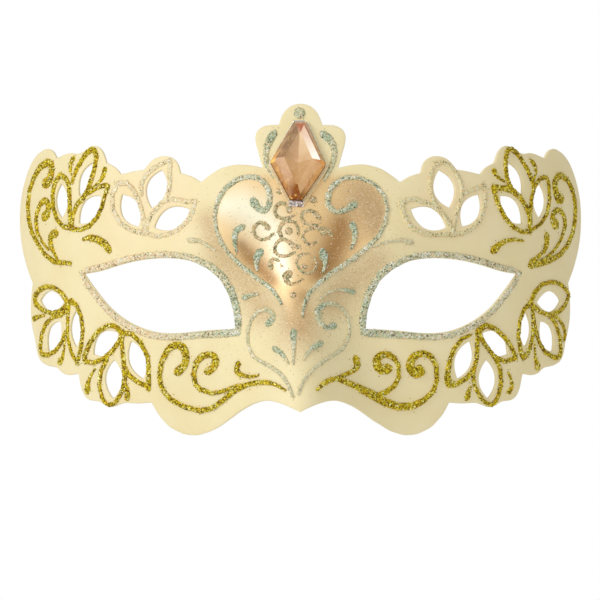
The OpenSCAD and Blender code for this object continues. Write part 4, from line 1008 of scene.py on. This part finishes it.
def make_camera():
    camera = bpy.data.cameras.new("camera")
    camera.lens = LENS
    camera.sensor_width = SENSOR
    camera.clip_start = 0.1
    camera.clip_end = 50
    obj = bpy.data.objects.new("camera", camera)
    obj.location = (CAMERA_X, -CAMERA_AWAY, CAMERA_Z)
    obj.rotation_euler = (math.radians(90), 0, 0)
    bpy.context.scene.collection.objects.link(obj)
    bpy.context.scene.camera = obj


# The place in the mask that the lights are aimed at, in m
AIM = (0, 0.02, 0.005)


def area_light(name, at, size, power, colour):
    light = bpy.data.lights.new(name, "AREA")
    light.size = size
    light.energy = power
    light.color = colour
    obj = bpy.data.objects.new(name, light)
    obj.location = at
    obj.rotation_euler = (Vector(AIM) - Vector(at)).to_track_quat("-Z", "Y").to_euler()
    bpy.context.scene.collection.objects.link(obj)


def make_world():
    """A plain white backdrop behind the mask, and a greyer studio all round it."""
    world = bpy.data.worlds.new("studio")
    world.use_nodes = True
    bpy.context.scene.world = world
    tree = world.node_tree
    where = tree.nodes.new("ShaderNodeTexCoord")
    split = tree.nodes.new("ShaderNodeSeparateXYZ")
    fade = tree.nodes.new("ShaderNodeMapRange")
    fade.inputs[1].default_value, fade.inputs[2].default_value = 0.75, 0.95
    blend = tree.nodes.new("ShaderNodeMix")
    blend.data_type = "RGBA"
    blend.inputs[6].default_value = (0.56, 0.55, 0.53, 1)
    blend.inputs[7].default_value = (1.0, 1.0, 1.0, 1)
    tree.links.new(where.outputs["Generated"], split.inputs[0])
    tree.links.new(split.outputs["Y"], fade.inputs[0])
    tree.links.new(fade.outputs[0], blend.inputs[0])
    tree.links.new(blend.outputs[2], tree.nodes["Background"].inputs[0])
    tree.nodes["Background"].inputs[1].default_value = 1.0


# The height of the floor, in m
FLOOR_Z = -0.25


def make_floor():
    bpy.ops.mesh.primitive_circle_add(vertices=96, radius=1.6, fill_type="NGON",
                                      location=(0, 0.2, FLOOR_Z))
    floor = bpy.context.object
    floor.name = "floor"
    m = Nodes("floor")
    m.put(m.shader, "Base Color", (0.9, 0.9, 0.89, 1))
    m.put(m.shader, "Roughness", 0.7)
    floor.data.materials.append(m.material)


def make_lights():
    area_light("key", (-0.8, -0.7, 0.5), 0.5, 5.35, (1.0, 0.985, 0.965))
    area_light("fill", (0.35, -0.9, -0.1), 0.26, 0.85, (1.0, 0.98, 0.95))


# ---------------------------------------------------------------------------------------
# The mask
# ---------------------------------------------------------------------------------------

# Where crumpled foil, flecked with painted glints, shows in the stone's glue: a tongue below the
# stone, within TONGUE_HALF of
# TONGUE_SHIFT from its middle, and a knob at its top, and where the glue pales upwards, in mm
TONGUE_TOP, TONGUE_HALF, TONGUE_SHIFT = (28.9, 28.3), (2.6, 2.1), -0.6
KNOB_FROM, KNOB_HALF, PALE_FROM = (53.2, 54.0), (2.2, 1.4), (32, 46)
# Each glitter's grain and spread, in mm: gold first, then the silver and the blush
GOLD_GRAIN, SILVER_GRAIN = (0.2, 0.1), (0.17, 0.08)


def make_stone_glue():
    glue = softened("gem_glue", "stone_glue", voxel=0.25, passes=5, grain=0.12)
    u, v, _ = sheet_of(points_of(glue) / MM)
    aside = u - STONE_AT[0]
    tongue = falling(v, *TONGUE_TOP) * falling(np.abs(aside - TONGUE_SHIFT), *TONGUE_HALF)
    knob = smoothstep(v, *KNOB_FROM) * falling(np.abs(aside), *KNOB_HALF)
    attribute(glue, "tip", np.maximum(tongue, knob))
    attribute(glue, "high", smoothstep(v, *PALE_FROM))
    return stands_for(glue, "gem_glue")


def main():
    bpy.context.scene.view_settings.view_transform = "Standard"
    make_camera()
    make_world()
    make_floor()
    make_lights()
    finish = materials()

    shell, sheet, shell_loops = make_shell()
    paint(shell, sheet)
    pieces = {"mask_shell": stands_for(shell, "mask_shell"), "gem_stone": make_stone()}
    pieces["gem_glue"] = make_stone_glue()
    for side, name in ((-1, "left"), (1, "right")):
        pieces[name + "_tie_patch"] = make_patch(side)
        glue = softened(name + "_tie_glue", name + "_hot_glue", voxel=0.25, passes=6,
                        grain=0.05, spread=0.2)
        pieces[name + "_tie_glue"] = stands_for(glue, name + "_tie_glue")
    for seed, (node, slot) in enumerate(SLOTS.items()):
        if slot.endswith("_glitter"):
            surface = GOLD_GRAIN if slot == "gold_glitter" else SILVER_GRAIN
            pieces[node] = glitter_bead(node, seed, *surface, shell_loops)
    for node, slot in SLOTS.items():
        looks = pieces.get(node, NODES[node]).data.materials
        looks.clear()
        looks.append(finish[slot])


main()
